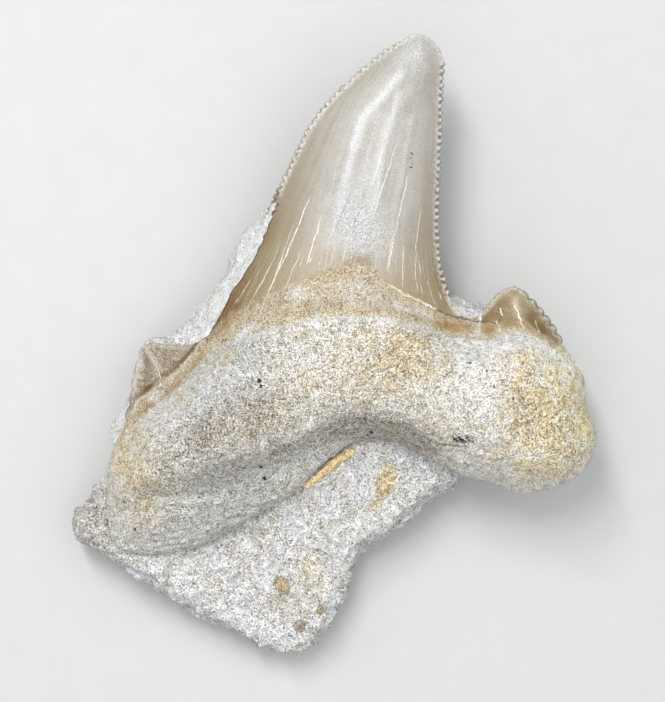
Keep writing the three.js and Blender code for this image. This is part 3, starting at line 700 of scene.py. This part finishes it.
def roughness(co, side):
    """Relief of the broken rock: lumps, pits and cracks. Its sides have weaker lumps."""
    cracks = 1 - step(np.abs(waves(co, CRACK_WAVES)), 0.01, 0.045)
    return (waves(co, ROCK_WAVES) - 0.45 * pits(co, size=2.1, seed=55, radius=0.36, share=0.4)
            - 0.3 * cracks * step(smooth_noise(co, 6, 61), 0, 0.3)
            - 0.3 * side * smooth_noise(co, 2.6, 51))


def build_rock(tooth, fragments):
    """The fine rock, fitted to the tooth and the fragments, which are surface trees."""
    obj = new_object("rough", *welded("matrix"))
    remesh = obj.modifiers.new("remesh", "REMESH")
    remesh.mode = "VOXEL"
    remesh.voxel_size = ROCK_VOXEL * MM
    co, triangles = applied(obj)
    for _ in range(2):
        co += 0.5 * (neighbour_mean(co, triangles) - co)
    normals = normals_of(co, triangles)
    co = brought_up(co, fragments)
    gap, pull, near, level = contact(co, tooth, CONTACT, np.full(len(co), SINK))
    ragged = 0.08 - 0.2 * smooth_noise(co, 0.5, 58)
    _, chip_pull, chip_near, _ = contact(co, fragments, CHIP_CONTACT, ragged)
    side = 1 - np.abs(normals[:, 2])
    calm = (1 - 0.8 * near) * (1 - 0.9 * chip_near) * step(co[:, 2], 0.1, 1.2)
    rise = roughness(co, side) * (0.75 + 0.6 * side) * calm
    co = co + normals * rise[:, None] + pull + chip_pull
    co = lip(co, triangles, gap, level, tooth)
    co[:, 2] = np.maximum(co[:, 2], 0)
    obj = new_object("matrix_fine", co, triangles)
    x, y = co[:, 0], co[:, 1]
    # Painted shade in the crease where the rock meets the tooth, below the crown's foot.
    shade = np.exp(-(np.maximum(gap, 0) / 0.8) ** 2) * step(-y, -2, 6)
    set_attributes(obj, ochre=gaussians(x, y, ROCK_OCHRE), pale=strokes(x, y, ROCK_PALE),
                   crease=shade + gaussians(x, y, ROCK_SOIL))
    return obj


# ---- The fragments ----

# Each fragment: seed, roughness, growth, darker colour, lighter colour, turn in radians, bluntness.
FRAGMENTS = {
    "bone_splinter": (61, 0.16, 0, (164, 136, 84), (218, 198, 150), 0.66, 1),
    "ochre_chip": (63, 0.28, 0.1, (104, 88, 58), (176, 162, 130), -1.0, 0),
    "red_chip": (65, 0.2, 0.05, (104, 90, 82), (160, 146, 136), 0.9, 0),
    "brown_chip": (67, 0.16, 0, (96, 84, 62), (154, 140, 110), 1.0, 0),
}


def build_fragment(node, seed, size, grow, turn, blunt):
    """A fine fragment. Bluntness 0 keeps the ends of an ellipse, and 1 gives parallel sides."""
    co, triangles = subdivided(new_object("rough", *welded(node)), 3)
    c, s = math.cos(turn), math.sin(turn)
    middle = (co.min(0) + co.max(0)) / 2
    away = co - middle
    run, off = away[:, 0] * c + away[:, 1] * s, away[:, 1] * c - away[:, 0] * s
    share = np.clip(np.abs(run) / np.abs(run).max(), 0, 0.98)
    off *= 1 + blunt * (0.8 * np.sqrt((1 - share ** 8) / (1 - share ** 2)) - 1)
    co[:, 0], co[:, 1] = middle[0] + run * c - off * s, middle[1] + run * s + off * c
    rough = waves(co, [(1, 0.6, seed), (0.6, 0.25, seed + 1)])
    co = co + normals_of(co, triangles) * (grow + size * rough)[:, None]
    return new_object(node + "_fine", co, triangles), co, triangles


# ---- Node materials ----

def linear(colour):
    """Linear colour from an sRGB one of 0 to 255."""
    return [((c / 255 + 0.055) / 1.055) ** 2.4 if c > 10 else c / 255 / 12.92 for c in colour] + [1]


class Field:
    """A value that varies over a surface. Arithmetic with it adds nodes to its shader."""

    def __init__(self, shader, socket):
        self.shader, self.socket = shader, socket

    def math(self, operation, *others):
        return self.shader.math(operation, self, *others)

    __add__ = partialmethod(math, "ADD")
    __sub__ = partialmethod(math, "SUBTRACT")
    __mul__ = partialmethod(math, "MULTIPLY")
    __abs__ = partialmethod(math, "ABSOLUTE")
    most = partialmethod(math, "MAXIMUM")
    least = partialmethod(math, "MINIMUM")

    def __rsub__(self, other):
        return self.shader.math("SUBTRACT", other, self)

    def clamped(self):
        """This result of arithmetic, kept from 0 to 1."""
        self.socket.node.use_clamp = True
        return self

    def span(self, low, high, to_low=0.0, to_high=1.0, curve="SMOOTHSTEP"):
        """The value mapped from one range to another, and kept in it."""
        values = (self, low, high, to_low, to_high)
        return self.shader.field("ShaderNodeMapRange", *values, interpolation_type=curve)


class Shader:
    """A node material, built one node at a time. Places are in mm, and colours are sRGB of 0 to 255."""

    def __init__(self, name):
        self.material = bpy.data.materials.new(name)
        self.material.use_nodes = True
        self.tree = self.material.node_tree
        self.place = self.scaled(self.field("ShaderNodeTexCoord", output="Object"), 1 / MM)
        # The place in plan, in the drawing frame.
        self.x, self.y = (self.field("ShaderNodeSeparateXYZ", self.place, output=k) - float(ORIGIN[k])
                          for k in (0, 1))

    def put(self, socket, value):
        """Link a field to a socket, or set a constant on it."""
        if isinstance(value, Field):
            self.tree.links.new(value.socket, socket)
        else:
            socket.default_value = value

    def field(self, kind, *values, inputs=None, output=0, **settings):
        """Output of a new node, with values on its first inputs and on the named or numbered ones."""
        node = self.tree.nodes.new(kind)
        for name, setting in settings.items():
            setattr(node, name, setting)
        for key, value in [*enumerate(values), *(inputs or {}).items()]:
            self.put(node.inputs[key], value)
        return Field(self, node.outputs[output])

    def math(self, operation, *values):
        return self.field("ShaderNodeMath", *values, operation=operation)

    def vector(self, operation, *values, output=0):
        return self.field("ShaderNodeVectorMath", *values, output=output, operation=operation)

    def scaled(self, vector, scale):
        return self.field("ShaderNodeVectorMath", vector, inputs={"Scale": scale}, operation="SCALE")

    def combine(self, x, y):
        return self.field("ShaderNodeCombineXYZ", x, y)

    def attribute(self, name):
        return self.field("ShaderNodeAttribute", output="Fac", attribute_name=name)

    def noise(self, size, detail=2, rough=0.55, place=None, output=0):
        """Noise from 0 to 1 with features of about the given size."""
        inputs = {"Scale": 1 / size, "Detail": detail, "Roughness": rough}
        return self.field("ShaderNodeTexNoise", place or self.place, inputs=inputs, output=output)

    def mix(self, factor, a, b):
        """Colour a where the factor is 0, and b where it is 1."""
        a, b = (colour if isinstance(colour, Field) else linear(colour) for colour in (a, b))
        return self.field("ShaderNodeMix", factor, inputs={6: a, 7: b}, output=2, data_type="RGBA")

    def layers(self, colour, *others):
        """A colour with others over it, each given as its mask and itself."""
        for mask, other in others:
            colour = self.mix(mask, colour, other)
        return colour

    def grains(self, size, dark, middle, light, pores=0.4, bright=0.55, worn=0.0):
        """Colour and lumps of a porous, grainy surface: dark in its pores and pale on its crests."""
        cell = self.field("ShaderNodeTexVoronoi", self.place, inputs={"Scale": 1 / size}, output="Color")
        pick, lift, tint = (self.field("ShaderNodeSeparateColor", cell, output=k) for k in range(3))
        height = (pick - 0.5) * 0.4 + self.noise(size * 0.85, 3, 0.7)
        height = (self.noise(size * 2.6) - 0.5) * 0.22 + (self.noise(size * 9) - 0.5) * 0.3 + height
        colour = self.layers(middle,
                             (tint.span(0.6, 1, 0, 0.35), (226, 198, 142)),
                             (height.span(bright - 0.03, bright + 0.07), light),
                             ((height - worn).span(pores + 0.01, pores - 0.09), dark))
        return colour, (height.least(0.62) - 0.5) * 3 + lift * 0.15

    def wandering(self, size, detail, amount):
        """The place in plan, shifted by noise."""
        bend = self.vector("SUBTRACT", self.noise(size, detail, 0.5, output="Color"), (0.5, 0.5, 0.5))
        moved = self.vector("ADD", self.combine(self.x, self.y), self.scaled(bend, amount))
        return self.vector("MULTIPLY", moved, (1, 1, 0))

    def along_lines(self, lines, ragged):
        """Mask of thin lines through points, with a ragged width and a wandering course."""
        place = self.wandering(1 / 0.55, 3, 1.5)
        masks = []
        for width, points in lines:
            for (x0, y0), (x1, y1) in zip(points, points[1:]):
                run = np.array([x1 - x0, y1 - y0])
                start = self.vector("SUBTRACT", place, (x0, y0, 0))
                share = self.vector("DOT_PRODUCT", start, (*(run / (run @ run)).tolist(), 0), output="Value")
                foot = self.scaled((*run.tolist(), 0), (share * 1).clamped())
                away = self.vector("LENGTH", self.vector("SUBTRACT", start, foot), output="Value")
                near = (ragged - 0.5) * (width * 2.2) + away
                masks.append(near.span(width * 1.2, width * 0.3))
        return reduce(Field.most, masks)

    def at_specks(self, specks, ragged):
        """Mask of small irregular specks."""
        place = self.wandering(1 / 3, 2, 0.9)
        masks = []
        for x, y, radius in specks:
            away = self.vector("DISTANCE", place, (x, y, 0), output="Value")
            near = (ragged - 0.5) * (radius * 1.6) + away
            masks.append(near.span(radius * 1.25, radius * 0.75))
        return reduce(Field.most, masks)

    def finished(self, colour, roughness, lumps=None, depth=0):
        """The material. Its lumps, from 0 to 1, stand for the given depth."""
        bsdf = self.tree.nodes["Principled BSDF"]
        self.put(bsdf.inputs["Base Color"], colour)
        self.put(bsdf.inputs["Roughness"], roughness)
        if lumps is not None:
            bump = self.field("ShaderNodeBump", inputs={"Distance": depth * MM, "Height": lumps})
            self.put(bsdf.inputs["Normal"], bump)
        return self.material


# ---- The tooth's material ----

# White cracks along the crown: (upper end x, y), (lower end x, y), half width.
CRACKS = [((-3.1, 25.6), (-10.4, 8.8), 0.1), ((-1.5, 22.1), (-4.2, 13.8), 0.09),
    ((0, 17.7), (-1.1, 14.9), 0.06), ((10.3, 33.6), (6, 20), 0.07), ((12.2, 28.8), (8.8, 13), 0.08),
    ((8.4, 33.4), (6.2, 26), 0.05), ((-6, 21), (-9, 12.5), 0.04), ((-8, 18), (-12.2, 9), 0.04),
    ((14.2, 24), (13.4, 9.5), 0.06), ((11.5, 18), (11, 10), 0.05), ((9.9, 21), (8.6, 12.2), 0.04),
    ((2.4, 18.6), (1.6, 14.6), 0.05), ((-4.6, 17), (-7.8, 9.4), 0.04), ((-9.4, 15), (-12.8, 8.2), 0.05)]
# Dark hairline cracks low on the crown.
HAIRLINES = [((3.2, 26), (-1.1, 15), 0.045), ((5.3, 25), (2.8, 18.3), 0.04),
    ((7, 22.8), (4.7, 15.6), 0.045)]
# Cracks elsewhere, filled with white: half width and points.
CRUST_LINES = [(0.15, [(29, 7.4), (29.7, 5.4), (30.5, 3.6)]), (0.1, [(26.6, 6.7), (27.3, 5.9)]),
    (0.22, [(23.9, 6), (23.8, 5.1), (23.3, 3.6), (22.4, 3.2)]), (0.18, [(26.1, 4.6), (26.6, 2.9)]),
    (0.1, [(32.4, 4.6), (33, 3)]), (0.07, [(-27.9, -2), (-27.7, -6.2)]), (0.18, [(15.2, 7.2), (16.6, 6.8)]),
    (0.09, [(10.4, 9), (10.6, 4.6)]), (0.09, [(15.9, 6.4), (15.6, 3.8)])]
# Dark lines: painted shadow in the gap under the enamel's edge, and black films.
DARK_LINES = [(0.16, GAP), (0.1, [(-20.5, 2.4), (-20.1, 0.8)]), (0.05, [(1.2, 9.5), (1, 8.3)]),
    (0.05, [(3.3, 11.4), (3.6, 10)]), (0.1, [(17.4, -14.5), (19.4, -15), (21.4, -14.8)])]
# Pale cords of cement along the foot of the enamel.
CORD = [(0.25, [(8.9, 10.4), (11.3, 9), (13.4, 8.2), (15.4, 7.3)]),
    (0.3, [(-32.4, -10), (-31, -8), (-26.1, -4.4), (-24.3, -2.8), (-22.7, -1), (-20.6, 2)])]
# Black film in patches along a line.
FILM = [(0.6, [(19.4, -14), (20.6, -13.8), (22, -13.9)])]
# Black specks: x, y and half width.
SPECKS = [(-11.5, -4.7, 0.36), (-11.2, -5.5, 0.26), (-11.4, -18.4, 0.3), (-10.8, -20.3, 0.3),
    (6.2, -12.9, 0.3), (5.6, -13.4, 0.2), (12.6, 31.4, 0.14), (12.4, 30.6, 0.13), (12.7, 29.9, 0.14),
    (12.5, 29.2, 0.12), (10, 18, 0.16), (21.4, -1.8, 0.18), (24.1, -3.1, 0.16), (25.1, -5.5, 0.16),
    (28.1, -7.4, 0.16), (-31.6, -28.5, 0.22), (-27.3, -18.6, 0.2), (-15.9, -3.8, 0.14), (33.6, -5.8, 0.14),
    (-18, -11.2, 0.14), (2, -6.4, 0.14), (-4.6, -8.8, 0.12)]


class ToothSurface(Shader):
    """The enamel, the band under it and the root, told apart by attributes of the tooth's mesh."""

    def __init__(self, sides):
        super().__init__("tooth_surface")
        self.sides = sides
        self.medium = self.noise(2.2, 3)
        self.fine = self.noise(0.55, 3, 0.65)
        self.grit = self.noise(0.2, 2, 0.7)
        self.across = self.attribute("across")
        self.streaks = self.noise(1, place=self.combine(self.across * 14, self.y * 0.05))
        self.glitter = self.noise(0.17, 1).span(0.42, 0.6)
        self.frost = (self.attribute("frost") * self.medium.span(0.3, 0.6, 0.6, 1.1)).clamped()
        self.mesial = self.x.span(-19, -21)
        self.cusplets = self.mesial.most(self.x.span(19.5, 21.5))
        stain = (self.attribute("ochre") * self.medium.span(0.32, 0.66, 0.2, 1.5)).clamped()
        self.stain = stain * self.fine.span(0.25, 0.65, 0.5, 1)
        # Brown soil, and painted shade in the root's creases and on its mesial side.
        self.soil = (self.attribute("dirt") * self.fine.span(0.25, 0.7, 0.4, 1)).clamped()
        self.amber = (self.attribute("amber") * self.fine.span(0.3, 0.5, 0.75, 1)).clamped()
        self.pale = self.attribute("pale")
        self.rosy = self.noise(0.9, 3, 0.7).span(0.5, 0.7)


def crown_cracks(s, table):
    """Mask of cracks that run up the crown and lean as its edges do."""
    masks = []
    for (x0, y0), (x1, y1), width in table:
        (u0, u1), _ = across_crown(s.sides, np.array([x0, x1]), np.array([y0, y1]))
        slope = float(u1 - u0) / (y1 - y0)
        course = s.y * slope + (float(u0) - slope * y0) + (s.medium - 0.5) * 0.05
        off = abs(s.across - course) * s.attribute("half")
        ends = s.y.span(y1 - 0.5, y1 + 1) * s.y.span(y0, y0 - 3)
        masks.append(off.span(width * 1.3, width * 0.3) * ends)
    return reduce(Field.most, masks)


def white_cracks(s):
    """Mask of the cracks that are filled with white, and of finer ones low on the crown."""
    lines = s.noise(1, 1, place=s.combine(s.across * 34, s.y * 0.035))
    lines = abs(lines - 0.5).span(0.011, 0) * s.y.span(20, 13)
    lines *= (1 - s.cusplets) * 0.85
    return crown_cracks(s, CRACKS).most(lines) * s.fine.span(0.3, 0.5)


def cusplet_colour(s):
    """Brown enamel, which is worn and gritty on the mesial cusplet."""
    mottle = s.medium.span(0.35, 0.65)
    middle = s.mix(mottle, (142, 124, 96), (168, 160, 146))
    gritty, _ = s.grains(0.13, (92, 76, 52), middle, (216, 208, 194), 0.42, 0.56)
    return s.mix(s.mesial.span(0, 1, 0.3, 0.85), s.mix(mottle, (106, 89, 48), (138, 123, 80)), gritty)


def enamel_colour(s):
    """Grey-beige, warmer towards the foot and the edges, paler on the serrations, with painted highlights
    along the ridges.
    """
    # Frosted enamel, glittering as a painted highlight.
    frosted = s.mix(s.glitter, (170, 166, 162), (230, 231, 234))
    warm = s.across.span(-0.15, -0.95).most(s.across.span(0.5, 0.98) * 0.7)
    edge = s.attribute("depth").span(1.05, 0.3) * s.fine.span(0.3, 0.6)
    bedded = s.x.span(-8, -9) * s.x.span(-20, -19)
    edge *= (1 - bedded) * s.cusplets.span(0, 1, 0.8, 0.5) * s.mesial.span(0, 1, 1, 0.5)
    return s.layers(
        s.mix(s.streaks.span(0.3, 0.7), (146, 141, 131), (160, 157, 151)),
        (s.noise(0.13, 2, 0.7).span(0.46, 0.36) * 0.3, (118, 110, 96)),
        (s.noise(3.5, 4).span(0.4, 0.7) * 0.5, (170, 167, 163)),
        (s.glitter * 0.35, (192, 188, 182)),
        (s.y.span(24, 8) * 0.76, (146, 128, 94)),
        # Worn frosting with a painted highlight low on the crown, and painted light at the tip.
        (s.frost * 0.85, frosted),
        # Painted highlight along the crown's ridges.
        (s.attribute("polish") * s.glitter.span(0, 1, 0.35, 1), (206, 209, 214)),
        (warm * s.y.span(46, 16, 0.25, 1) * 0.85, (120, 104, 68)),
        (s.cusplets, cusplet_colour(s)),
        (s.attribute("brown") * s.medium.span(0.2, 0.6, 0.6, 1) * 0.8, (106, 79, 36)),
        (edge, (212, 208, 197)),
        # Pale lobes, and painted highlights on the cusplets' ridges.
        (s.attribute("lobes"), (222, 214, 206)),
        (white_cracks(s) * 0.8, (236, 231, 220)),
        (crown_cracks(s, HAIRLINES) * s.fine.span(0.35, 0.55, 0.3, 0.8), (116, 106, 94)))


def root_colour(s):
    """Colour and lumps of the root: white to pale grey grains, ochre stains, and brown soil mixed with
    painted shade.
    """
    middle = s.layers(
        s.mix(s.noise(5, 3).span(0.35, 0.65), (240, 240, 237), (236, 226, 202)),
        (s.noise(1.3, 3, 0.6).span(0.5, 0.72) * 0.5, (214, 194, 154)),
        (s.rosy * 0.4, (230, 208, 196)),
        (s.pale * 0.7, (244, 247, 252)),
        # Painted shade: the root's lower face, which slopes down towards the front, is greyer.
        (s.attribute("lower_face") * 0.4, (220, 222, 220)),
        (s.stain * 0.9, (224, 197, 136)),
        (s.soil * 0.75, (150, 138, 118)))
    light = s.layers((255, 255, 252), (s.stain * 0.7, (244, 222, 168)), (s.soil * 0.6, (196, 187, 170)))
    dark = s.layers((106, 98, 82), (s.stain, (116, 88, 46)), (s.pale * 0.1, (186, 186, 184)),
                    (s.soil * 0.8, (62, 50, 34)))
    colour, lumps = s.grains(0.13, dark, middle, light, 0.4, 0.54, s.soil * 0.045)
    # Painted shade: the root is darker from x -4 to -13, towards its mesial side, and lifted by a tenth again
    # from x -19 to -26.
    shade = s.x.span(-4, -13, 1, 0.78) * s.x.span(-19, -26, 1, 1.1)
    colour = s.scaled(colour, shade)
    # Painted light: the free lobe is brighter towards its end, and warmer too.
    warmed = s.mix(s.x.span(27, 36), colour, s.vector("MULTIPLY", colour, (1.26, 1.2, 1.08)))
    return s.vector("MINIMUM", warmed, (1, 1, 1)), lumps


def band_colour(s):
    """Tan with pale grit, and amber where it is polished."""
    crusted = s.pale * s.noise(0.8, 3, 0.7).span(0.4, 0.55, 0.2, 1.3)
    middle = s.layers(
        s.mix(s.medium.span(0.3, 0.7), (186, 160, 112), (216, 199, 162)),
        (s.streaks.span(0.52, 0.66) * 0.5, (218, 211, 196)),
        (s.stain * 0.8, (204, 172, 100)),
        (s.rosy * 0.5, (216, 190, 172)),
        (crusted, (248, 247, 245)))
    dark = s.mix(crusted, (104, 78, 42), (160, 150, 136))
    light = s.mix(crusted, (240, 230, 206), (255, 255, 255))
    colour, _ = s.grains(0.14, dark, middle, light, 0.4, 0.54, s.x.span(-6, -10, 0, 0.03))
    polished = s.mix(s.fine.span(0.3, 0.7), (122, 88, 34), (170, 132, 60))
    return s.mix(s.amber * 0.9, colour, polished)


def enamel_mask(s):
    """Mask of the enamel, whose foot is ragged except on the distal side."""
    crisp = s.x.span(7, 10)
    tongues = s.noise(1, 3, place=s.combine(s.x * 1.1, s.y * 0.25))
    loose = (tongues + s.noise(0.5, 4, 0.8) - 1) * 2.6
    ragged = loose * crisp.span(0, 1, 1, 0.15) + s.attribute("enamel")
    return ragged.span(crisp.span(0, 1, -1.1, -0.15), crisp.span(0, 1, 1.1, 0.15))


def tooth_material(sides):
    """The tooth's material."""
    s = ToothSurface(sides)
    is_enamel = enamel_mask(s)
    is_band = ((s.fine - 0.5) * 2.4 + s.attribute("band")).span(-0.6, 0.6)
    root, lumps = root_colour(s)
    film = s.along_lines(FILM, s.fine) * s.noise(0.4, 3).span(0.42, 0.5)
    colour = s.layers(
        band_colour(s),
        (1 - is_band, root),
        (is_enamel, enamel_colour(s)),
        (s.along_lines(CORD, s.fine) * 0.88, s.mix(s.glitter, (192, 174, 148), (232, 219, 196))),
        (s.along_lines(CRUST_LINES, s.fine) * s.grit.span(0.4, 0.52, 0.3, 0.95), (236, 232, 224)),
        # Painted shadow in the gap under the enamel, and dark films.
        (s.along_lines(DARK_LINES, s.medium) * 0.85, (84, 72, 56)),
        (s.at_specks(SPECKS, s.fine), (38, 38, 42)),
        (film, (44, 46, 52)))
    gloss = is_enamel.most(s.amber * is_band * 0.7) * s.mesial.span(0, 1, 1, 0.5)
    gloss *= 1 - s.frost * 0.35
    lumps = (lumps + s.grit * 0.6 + s.fine - 0.8) * (1 - gloss * 0.87)
    return s.finished(colour, gloss.span(0, 1, 0.9, 0.27, "LINEAR"), lumps, 0.17)


# ---- The other materials ----

# Cracks in the rock: half width and points.
ROCK_CRACKS = [(0.1, [(-5.3, -31), (-3.5, -32.2), (-1.7, -32.5), (0, -33.5)]),
    (0.1, [(-12.3, -42.4), (-9.3, -45)]), (0.08, [(-9.4, -29), (-7.6, -32), (-8, -34)])]


def rock_material():
    """Granular pale rock with ochre stains, cracks, and painted shade with soil in its creases."""
    s = Shader("matrix_surface")
    fine, pale = s.noise(0.6, 3, 0.65), s.attribute("pale")
    stain = (s.attribute("ochre") * fine.span(0.3, 0.65, 0.5, 1.3)).span(0.15, 0.8)
    # Painted shade along the tooth's contact, with soil.
    shade = (s.attribute("crease") * fine.span(0.3, 0.6, 0.5, 1)).clamped()
    middle = s.layers(
        s.mix(s.noise(4, 3).span(0.4, 0.65), (250, 251, 253), (232, 222, 203)),
        # Pale rock, partly painted light on the lip over the crown's edge.
        (pale * 0.8, (255, 255, 254)),
        (stain * 0.9, (232, 196, 118)),
        (shade * 0.72, (146, 130, 108)))
    light = s.layers((255, 255, 255), (stain * 0.6, (246, 222, 166)), (shade * 0.5, (206, 198, 184)))
    dark = s.layers((92, 84, 70), (pale, (124, 116, 102)), (stain, (140, 110, 60)))
    colour, lumps = s.grains(0.14, dark, middle, light, 0.385, 0.51, pale * -0.04)
    colour = s.mix(s.along_lines(ROCK_CRACKS, fine) * 0.7, colour, (104, 92, 76))
    return s.finished(colour, 0.92, lumps + fine + s.noise(0.22, 2, 0.7) * 0.5, 0.24)


def fragment_material(name, dark, light, turn):
    """Fossil bone: fibres along the fragment."""
    s = Shader(name + "_surface")
    turned = s.field("ShaderNodeVectorRotate", s.place, inputs={"Angle": -turn}, rotation_type="Z_AXIS")
    stretched = s.vector("MULTIPLY", turned, (0.25, 1.6, 1.6))
    fibres = s.noise(0.5, 3, place=stretched)
    pores, crests = [0.62 * c for c in dark], [min(255, 1.12 * c) for c in light]
    colour, _ = s.grains(0.12, pores, s.mix(fibres.span(0.36, 0.64), dark, light), crests, 0.38, 0.56)
    return s.finished(colour, 0.7, fibres + s.noise(0.18) * 0.8, 0.2)


def floor_material():
    """Plain pale table top."""
    s = Shader("table_surface")
    return s.finished(s.mix(s.noise(6, 4), (178, 178, 177), (184, 184, 182)), 0.8)


# ---- Scene ----

tooth, *tooth_part = build_tooth()
cad_tooth, cad_tooth_triangles = welded("tooth")
crown_outline = cad_tooth[rim_loop(cad_tooth, cad_tooth_triangles)][:, :2]
tooth.data.materials.append(tooth_material(crown_sides(crown_outline)))
pieces = {"tooth": tooth}
fragment_parts = []
for node, (seed, size, grow, dark, light, turn, blunt) in FRAGMENTS.items():
    piece, *part = build_fragment(node, seed, size, grow, turn, blunt)
    piece.data.materials.append(fragment_material(node, dark, light, turn))
    pieces[node] = piece
    fragment_parts.append(part)
pieces["matrix"] = build_rock(surface_tree(tooth_part), surface_tree(*fragment_parts))
pieces["matrix"].data.materials.append(rock_material())
for node, piece in pieces.items():
    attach(piece, "root")
    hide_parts(node)

bpy.ops.mesh.primitive_plane_add(size=6)
floor = bpy.context.object
floor.name = "table"
floor.data.materials.append(floor_material())

# Lights, in metres: name, place, size and power.
LIGHTS = [("key", (-0.13, 0.27, 0.58), (0.1, 0.34), 2.9), ("overhead", (0.17, 0, 0.7), (1.1, 1.1), 5.1),
    ("left", (-0.4, 0.2, 0.4), (0.5, 0.5), 0.95), ("low", (-0.25, -0.4, 0.35), (0.5, 0.5), 0.5)]
LIT_PLACE = Vector((0, 0, 0.01))
SKY_COLOUR, SKY_STRENGTH = (0.9, 0.95, 1, 1), 0.45
CAMERA_HEIGHT, CAMERA_LENS = 0.4, 122.4

for name, place, size, power in LIGHTS:
    data = bpy.data.lights.new(name, "AREA")
    data.shape = "RECTANGLE"
    data.size, data.size_y = size
    data.energy = power
    light = bpy.data.objects.new(name, data)
    light.location = place
    light.rotation_euler = (LIT_PLACE - Vector(place)).to_track_quat("-Z", "Y").to_euler()
    bpy.context.scene.collection.objects.link(light)
world = bpy.data.worlds.new("studio")
world.use_nodes = True
sky = world.node_tree.nodes["Background"].inputs
sky["Color"].default_value, sky["Strength"].default_value = SKY_COLOUR, SKY_STRENGTH
bpy.context.scene.world = world
bpy.context.scene.view_settings.view_transform = "Standard"

camera_data = bpy.data.cameras.new("camera")
camera_data.sensor_fit = "VERTICAL"
camera_data.sensor_height = 36
camera_data.lens = CAMERA_LENS
camera_data.clip_start = 0.01
camera = bpy.data.objects.new("camera", camera_data)
camera.location = (ORIGIN[0] * MM, ORIGIN[1] * MM, CAMERA_HEIGHT)
bpy.context.scene.collection.objects.link(camera)
bpy.context.scene.camera = camera
